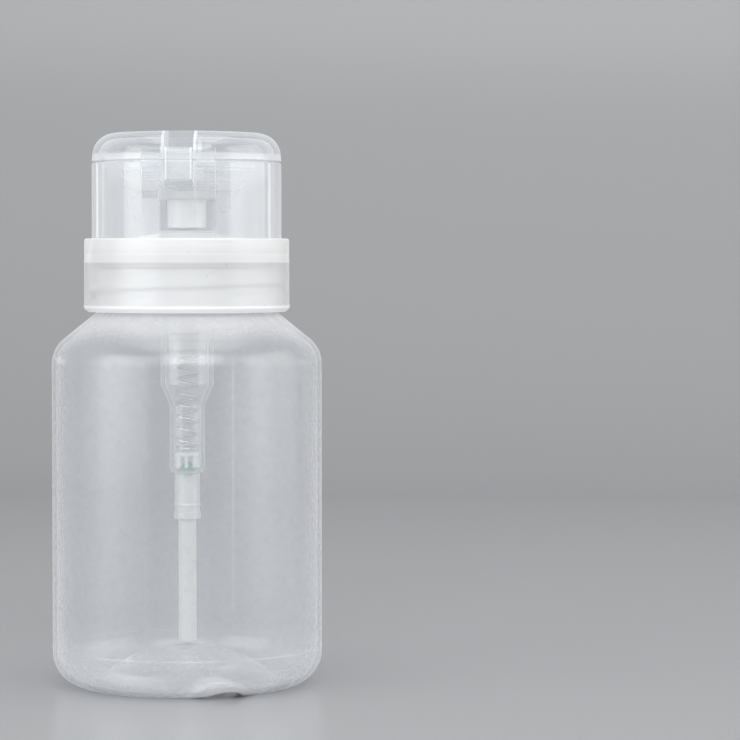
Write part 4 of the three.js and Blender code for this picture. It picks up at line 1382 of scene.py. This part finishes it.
nozzle = turned("nozzle_skin", nozzle_outline, even_angles(96))
holes = grown(
    "outlet holes", pins, count=4, circle_radius=OUTLET_CIRCLE * MM, round=True,
    middle_height=NOZZLE_TOP * MM, size=(OUTLET_HOLE * MM, OUTLET_HOLE * MM, 3 * MM),
)
eighth_turn = Matrix.Rotation(math.pi / 4, 4, "Z")
holes.data.transform(eighth_turn)
carve(nozzle, holes, "DIFFERENCE")
dress(nozzle, "nozzle", PLASTIC_OF["nozzle"])

# %% [markdown]
# ## Stem, piston and valve balls
# The stem is the pump's hollow rod. Its lower end is pressed into the piston, whose two soft
# lips wipe the barrel. A ball on the stem's upper end, and a larger one at the foot of the
# barrel, are the valves. They are ground glass balls, made here by turning a half circle.

# %% Stem and piston
stem_low, stem_high = span("stem")
STEM_BORE = 1.4
SEAT_BORE = 0.9
stem_outline = rounded([
    (STEM_BORE, stem_low.z), (STEM_RADIUS, stem_low.z), (STEM_RADIUS, stem_high.z),
    (SEAT_BORE, stem_high.z), (SEAT_BORE, stem_high.z - 1.0), (STEM_BORE, stem_high.z - 1.6),
], 0.3)
stem = turned("stem_skin", stem_outline, even_angles(72))
dress(stem, "stem", PLASTIC_OF["stem"])

piston_low, piston_high = span("piston")
LIP_RADIUS = piston_high.x
LIP_HEIGHT = 0.8
LEAD_IN, LEAD_UP = 0.3, 0.15  # the chamfer at the edge of each lip
WAIST = 4.3
PISTON_PORT = 1.7
PISTON_FLOOR = 1.1
taper = LIP_RADIUS - WAIST
piston_outline = rounded([
    (PISTON_PORT, piston_low.z),
    (LIP_RADIUS - LEAD_IN, piston_low.z),
    (LIP_RADIUS, piston_low.z + LEAD_UP),
    (LIP_RADIUS, piston_low.z + LIP_HEIGHT),
    (WAIST, piston_low.z + LIP_HEIGHT + taper),
    (WAIST, piston_high.z - LIP_HEIGHT - taper),
    (LIP_RADIUS, piston_high.z - LIP_HEIGHT),
    (LIP_RADIUS, piston_high.z - LEAD_UP),
    (LIP_RADIUS - LEAD_IN, piston_high.z),
    (STEM_SOCKET, piston_high.z),
    (STEM_SOCKET, piston_low.z + PISTON_FLOOR),
    (PISTON_PORT, piston_low.z + PISTON_FLOOR),
], 0.25)
piston = turned("piston_skin", piston_outline, even_angles(72))
dress(piston, "piston", PLASTIC_OF["piston"])

# %% Valve balls
def ball(name, node):
    low, high = span(node)
    middle, radius = (low.z + high.z) / 2, (high.z - low.z) / 2
    outline = arc(0, middle, radius, math.pi / 2, -math.pi / 2, 32)
    outline[0], outline[-1] = (0, high.z), (0, low.z)
    return dress(turned(name, outline, even_angles(64)), node, valve_glass)


ball("outlet_ball_skin", "outlet_ball")
ball("inlet_ball_skin", "inlet_ball")

# %% [markdown]
# ## Pump housing and its cap
# One long moulding hangs from its flange into the bottle: the wide barrel, a cone, a narrow
# lower barrel for spring and ball, and a nipple that the dip tube is pushed into. The nipple
# has two fine beads. The cap closes the barrel round the stem.

# %% Pump housing
housing_low = span("pump_housing")[0]
BARREL_BORE = 5.05
BARREL_RADIUS = BARREL_BORE + 1.1
BARREL_FLOOR = 69.3
FLANGE_BOTTOM = FLANGE_TOP - 1.0
MOUTH_BORE = 5.6
MOUTH_FLOOR = FLANGE_TOP - 5.4
CONE_HEIGHT = 4.7
CONE_BOTTOM = BARREL_FLOOR - CONE_HEIGHT
LOWER_BORE = 3.1
LOWER_RADIUS = LOWER_BORE + 0.95
LOWER_FLOOR = 49.9
NIPPLE_TOP = LOWER_FLOOR - 0.9
NIPPLE_BORE = 2.35
NIPPLE_RADIUS = 2.9
NIPPLE_BEAD = 0.15
BALL_POCKET = 2.2
SEAT_PORT = 1.2
SEAT_TOP = LOWER_FLOOR - 1.0
SEAT_BOTTOM = SEAT_TOP - (BALL_POCKET - SEAT_PORT)
TUBE_STOP = SEAT_BOTTOM - 0.7
SECOND_BEAD = housing_low.z + 3.2


def bead(middle, half):
    """A low round bead on the nipple."""
    return [
        (NIPPLE_RADIUS + NIPPLE_BEAD * ridge(z - middle, half), z)
        for z in np.linspace(middle - half, middle + half, 9)
    ]


housing_outline = [
    *rounded([
        (NIPPLE_BORE, TUBE_STOP), (NIPPLE_BORE, housing_low.z),
        (NIPPLE_RADIUS + NIPPLE_BEAD, housing_low.z),
        (NIPPLE_RADIUS + NIPPLE_BEAD, housing_low.z + 1.5),
        (NIPPLE_RADIUS, housing_low.z + 1.65), (NIPPLE_RADIUS, housing_low.z + 2.2),
    ], 0.2, open_ends=True)[1:-1],
    *bead(SECOND_BEAD, 0.5),
    *rounded([
        (NIPPLE_RADIUS, SECOND_BEAD + 1), (NIPPLE_RADIUS, NIPPLE_TOP),
        (LOWER_RADIUS - 0.48, NIPPLE_TOP), (LOWER_RADIUS, NIPPLE_TOP + 0.95),
        (LOWER_RADIUS, CONE_BOTTOM), (BARREL_RADIUS, BARREL_FLOOR),
        (BARREL_RADIUS, FLANGE_BOTTOM), (FLANGE_RADIUS, FLANGE_BOTTOM),
        (FLANGE_RADIUS, FLANGE_TOP), (MOUTH_BORE, FLANGE_TOP), (MOUTH_BORE, MOUTH_FLOOR),
        (BARREL_BORE, MOUTH_FLOOR), (BARREL_BORE, BARREL_FLOOR), (LOWER_BORE, CONE_BOTTOM),
        (LOWER_BORE, LOWER_FLOOR), (BALL_POCKET, LOWER_FLOOR), (BALL_POCKET, SEAT_TOP),
        (SEAT_PORT, SEAT_BOTTOM), (SEAT_PORT, TUBE_STOP), (NIPPLE_BORE, TUBE_STOP),
    ], 0.4, open_ends=True)[1:],
]
housing_skin = turned("pump_housing_skin", housing_outline, even_angles(96))


HOUSING_END_WHITE, BARREL_WHITE = 0.5, 0.15


def housing_thickness(point):
    """Thick at the flange and the nipple; the lower barrel stays clear, to show the spring."""
    if point.z > FLANGE_BOTTOM - 0.1 or point.z < NIPPLE_TOP + 0.5:
        return HOUSING_END_WHITE
    return BARREL_WHITE if point.z > BARREL_FLOOR - 1 else 0


mark_thick_and_painted_light(housing_skin, housing_thickness)
dress(housing_skin, "pump_housing", PLASTIC_OF["pump_housing"])

# %% Housing cap
cap_low, cap_high = span("housing_cap")
CAP_SLEEVE = 4.3
CAP_SLEEVE_LENGTH = 10.4
CAP_FLANGE = 1.7
sleeve_top = cap_low.z + CAP_SLEEVE_LENGTH
plug = BARREL_BORE - CLEARANCE
cap_flange_bottom = cap_high.z - CAP_FLANGE
cap_outline = rounded([
    (STEM_SOCKET, cap_low.z), (CAP_SLEEVE, cap_low.z), (CAP_SLEEVE, sleeve_top),
    (plug, sleeve_top + plug - CAP_SLEEVE), (plug, cap_flange_bottom),
    (cap_high.x, cap_flange_bottom), (cap_high.x, cap_high.z), (STEM_SOCKET, cap_high.z),
], 0.25)
cap_skin = turned("housing_cap_skin", cap_outline, even_angles(72))
dress(cap_skin, "housing_cap", PLASTIC_OF["housing_cap"])

# %% [markdown]
# ## Ball cage and return spring
# The cage is a ring on legs: it stops the ball and carries the spring. Its legs come from
# the same Geometry Nodes tree as the outlet holes, this time square. There are eight narrow
# ones, because in the object they show through the barrel as a row of fine upright ribs.

# %% Ball cage
cage_low, cage_high = span("ball_cage")
CAGE_RADIUS = LOWER_BORE - CLEARANCE
CAGE_RING = 0.8
CAGE_PORT = 1.3
LEG_COUNT = 8
LEG_WIDTH = 0.7
LEG_DEPTH = 0.5
LEG_INSET = 0.05
cage = turned("ball_cage_skin", rounded([
    (CAGE_PORT, cage_high.z - CAGE_RING), (CAGE_RADIUS, cage_high.z - CAGE_RING),
    (CAGE_RADIUS, cage_high.z), (CAGE_PORT, cage_high.z),
], 0.2), even_angles(72))
leg_top = cage_high.z - CAGE_RING / 2
leg_circle = CAGE_RADIUS - LEG_INSET - LEG_DEPTH / 2
legs = grown(
    "cage legs", pins, count=LEG_COUNT, circle_radius=leg_circle * MM, round=False,
    middle_height=(cage_low.z + leg_top) / 2 * MM,
    size=(LEG_DEPTH * MM, LEG_WIDTH * MM, (leg_top - cage_low.z) * MM),
)
legs.data.transform(eighth_turn)
carve(cage, legs, "UNION")
dress(cage, "ball_cage", PLASTIC_OF["ball_cage"])

# %% [markdown]
# A coil spring follows a rule: the wire's middle climbs with the turns, slowly in the first
# and the last turn, so that the ends lie nearly flat, and faster between. A second tree makes
# it: a spiral curve, its height set from the number of turns, and a round wire along it.

# %% Spring as Geometry Nodes
def spring_tree():
    tree, given = new_tree(
        "coil spring", turns="Float", coil_radius="Float", wire_radius="Float",
        bottom="Float", top="Float", end_pitch="Float",
    )
    spiral = add(tree, "GeometryNodeCurveSpiral", {
        "Resolution": 40, "Rotations": given["Turns"], "Start Radius": given["Coil radius"],
        "End Radius": given["Coil radius"], "Height": 0.0,
    }).outputs["Curve"]
    share = add(tree, "GeometryNodeSplineParameter").outputs["Factor"]
    turns, pitch = given["Turns"], given["End pitch"]
    turn = calculated(tree, "MULTIPLY", share, turns)
    last = calculated(tree, "SUBTRACT", turns, 1.0)
    low = calculated(tree, "ADD", given["Bottom"], pitch)
    high = calculated(tree, "SUBTRACT", given["Top"], pitch)
    rise = calculated(tree, "SUBTRACT", high, low)
    first_climb = add(tree, "ShaderNodeMapRange", {
        "Value": turn, "From Max": 1.0, "To Min": given["Bottom"], "To Max": low,
    }).outputs[0]
    main_climb = add(tree, "ShaderNodeMapRange", {
        "Value": turn, "From Min": 1.0, "From Max": last, "To Max": rise,
    }).outputs[0]
    last_climb = add(tree, "ShaderNodeMapRange", {
        "Value": turn, "From Min": last, "From Max": turns, "To Max": pitch,
    }).outputs[0]
    lower = calculated(tree, "ADD", first_climb, main_climb)
    height = calculated(tree, "ADD", lower, last_climb)
    lift = add(tree, "ShaderNodeCombineXYZ", {"Z": height}).outputs[0]
    coil = add(tree, "GeometryNodeSetPosition", {
        "Geometry": spiral, "Offset": lift,
    }).outputs["Geometry"]
    section = add(tree, "GeometryNodeCurvePrimitiveCircle", {
        "Resolution": 14, "Radius": given["Wire radius"],
    }, mode="RADIUS").outputs["Curve"]
    wire = add(tree, "GeometryNodeCurveToMesh", {
        "Curve": coil, "Profile Curve": section, "Fill Caps": True,
    }).outputs["Mesh"]
    return end_tree(tree, wire, given["Material"])


# %% [markdown]
# When the dish goes down the real spring shortens, by as much as the frame's joint says.
# This skin is made at its full length, and nothing here flattens it.

# %% Return spring
spring_low, spring_high = span("return_spring")
SPRING_TURNS = 9.0
WIRE_RADIUS = 0.38  # the real wire is 0.6 mm thick: drawn coarser, so that its shine shows
END_PITCH = 1.1
wire_reach = WIRE_RADIUS + 0.02  # from the wire's middle to the node's box
spring = grown(
    "return_spring_skin", spring_tree(), turns=SPRING_TURNS, end_pitch=END_PITCH * MM,
    coil_radius=(spring_high.x - wire_reach) * MM, wire_radius=WIRE_RADIUS * MM,
    bottom=(spring_low.z + wire_reach) * MM, top=(spring_high.z - wire_reach) * MM,
    material=spring_steel,
)
dress(spring, "return_spring", spring_steel)
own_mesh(spring)

# %% [markdown]
# ## Dip tube
# The tube is extruded, so it has the same section from end to end, and it is cut off square
# a little above the base.

# %% Dip tube
tube_low, tube_high = span("dip_tube")
TUBE_BORE = tube_high.x - 0.7
tube = turned("dip_tube_skin", rounded([
    (TUBE_BORE, tube_low.z), (tube_high.x, tube_low.z),
    (tube_high.x, tube_high.z), (TUBE_BORE, tube_high.z),
], 0.1), even_angles(72))
dress(tube, "dip_tube", PLASTIC_OF["dip_tube"])

# %% [markdown]
# ## Stage, light and camera
# See-through plastic shows itself mostly by what it mirrors, so the places of the lamps
# matter more than their strength. Two large softboxes at the sides draw the long soft
# highlights, one overhead lights the lid and the dish, and a large weak fill stands in
# front. Two small lamps with a grid stand behind the object: they draw the thin bright lines
# near the cup's edges and light nothing else.
#
# The object stands on a board that bends up behind it, painted in a satin grey, so that the
# bottle has a faint reflection under it.

# %% Floor and sweep
def painted_board():
    material, tree, place = new_material("pale painted board")
    # the orange-peel texture that a paint roller leaves
    roller = add(tree, "ShaderNodeTexNoise", {
        "Vector": place, "Scale": per_metre(1.5), "Detail": 4.0,
    }).outputs["Fac"]
    bump = add(tree, "ShaderNodeBump", {"Height": roller, "Distance": 0.01 * MM}).outputs[0]
    paint = add(tree, "ShaderNodeBsdfPrincipled", {
        "Base Color": linear("#a4a5a7"), "Roughness": 0.24, "Specular IOR Level": 0.5,
        "Normal": bump,
    }).outputs[0]
    add(tree, "ShaderNodeOutputMaterial", {"Surface": paint})
    return material


SWEEP_SIDE = 1.6  # metres, as all sizes of the stage
SWEEP_FRONT = -1.2
SWEEP_BACK = 0.9
SWEEP_BEND = 0.35
SWEEP_TOP = 1.6
bend_start = SWEEP_BACK - SWEEP_BEND
sweep_line = [
    (SWEEP_FRONT, 0.0),
    (bend_start, 0.0),
    *arc(bend_start, SWEEP_BEND, SWEEP_BEND, -math.pi / 2, 0, 16)[1:],
    (SWEEP_BACK, SWEEP_TOP),
]
sweep_points = [(x, *point) for point in sweep_line for x in (-SWEEP_SIDE, SWEEP_SIDE)]
sweep_faces = [
    (2 * i, 2 * i + 1, 2 * i + 3, 2 * i + 2) for i in range(len(sweep_line) - 1)
]
sweep_mesh = bpy.data.meshes.new("sweep")
sweep_mesh.from_pydata(sweep_points, [], sweep_faces)
sweep_mesh.polygons.foreach_set("use_smooth", [True] * len(sweep_faces))
sweep_mesh.materials.append(painted_board())
sweep = bpy.data.objects.new("sweep", sweep_mesh)
scene.collection.objects.link(sweep)

# %% Camera
CAMERA_TURN = math.radians(5)  # the hinge looks a little to the left of the viewer
CAMERA_DISTANCE = 0.700
CAMERA_HEIGHT = 0.0988
CAMERA_TILT = math.radians(2.15)
CAMERA_PAN = math.radians(3.45)


def round_about(distance, angle, height):
    """A place round the object; an angle of 0 is straight in front of the hinge."""
    return distance * math.sin(angle), -distance * math.cos(angle), height


camera_data = bpy.data.cameras.new("camera")
camera_data.lens = 147.7
camera_data.sensor_width = 36
camera = bpy.data.objects.new("camera", camera_data)
scene.collection.objects.link(camera)
camera.location = round_about(CAMERA_DISTANCE, CAMERA_TURN, CAMERA_HEIGHT)
camera.rotation_euler = (math.pi / 2 - CAMERA_TILT, 0, CAMERA_TURN - CAMERA_PAN)
camera_data.clip_start, camera_data.clip_end = 0.01, 20
scene.camera = camera
print("camera at", [round(c, 3) for c in camera.location])

# %% Softboxes and world
LAMP_AIM = Vector((0, 0, 0.07))


def softbox(name, side, distance, height, width, tall, power, grid=180):
    """A rectangular lamp at an angle from the camera's direction, aimed at the object. A grid
    keeps its light within that many degrees, which makes it far brighter there, so a lamp
    with a grid needs very little power."""
    data = bpy.data.lights.new(name, "AREA")
    data.shape = "RECTANGLE"
    data.size, data.size_y = width, tall
    data.energy = power
    data.spread = math.radians(grid)
    lamp = bpy.data.objects.new(name, data)
    scene.collection.objects.link(lamp)
    lamp.location = round_about(distance, CAMERA_TURN + math.radians(side), height)
    lamp.rotation_euler = (LAMP_AIM - lamp.location).to_track_quat("-Z", "Y").to_euler()
    return lamp


softbox("left softbox", -57, 0.9, 0.25, 0.8, 0.9, 5.5)
softbox("right softbox", 80, 0.9, 0.25, 0.9, 0.9, 4.6)
softbox("overhead softbox", 0, 0.05, 1.0, 0.9, 0.7, 3.6)
softbox("front fill", 5, 1.6, 1.0, 1.6, 1.2, 20.0)
softbox("left rim strip", -138, 0.8, 0.125, 0.1, 0.12, 0.0034, grid=30)
softbox("right rim strip", 119, 0.8, 0.125, 0.08, 0.12, 0.0027, grid=30)

# %% Pale room
world = bpy.data.worlds.new("pale studio")
scene.world = world
world.use_nodes = True
sky = world.node_tree.nodes["Background"]
sky.inputs["Color"].default_value = linear("#e4e4e5")
sky.inputs["Strength"].default_value = 0.5
scene.cycles.transparent_max_bounces = 64  # a ray along the pump crosses many thin walls
scene.cycles.max_bounces = 16

# %% [markdown]
# ## Finish
# Each skin printed how far it reaches past its node's box as it was dressed. Here the
# view is set to Standard, and the scene is brought up to date.

# %% Finish
scene.view_settings.view_transform = "Standard"
bpy.context.view_layer.update()
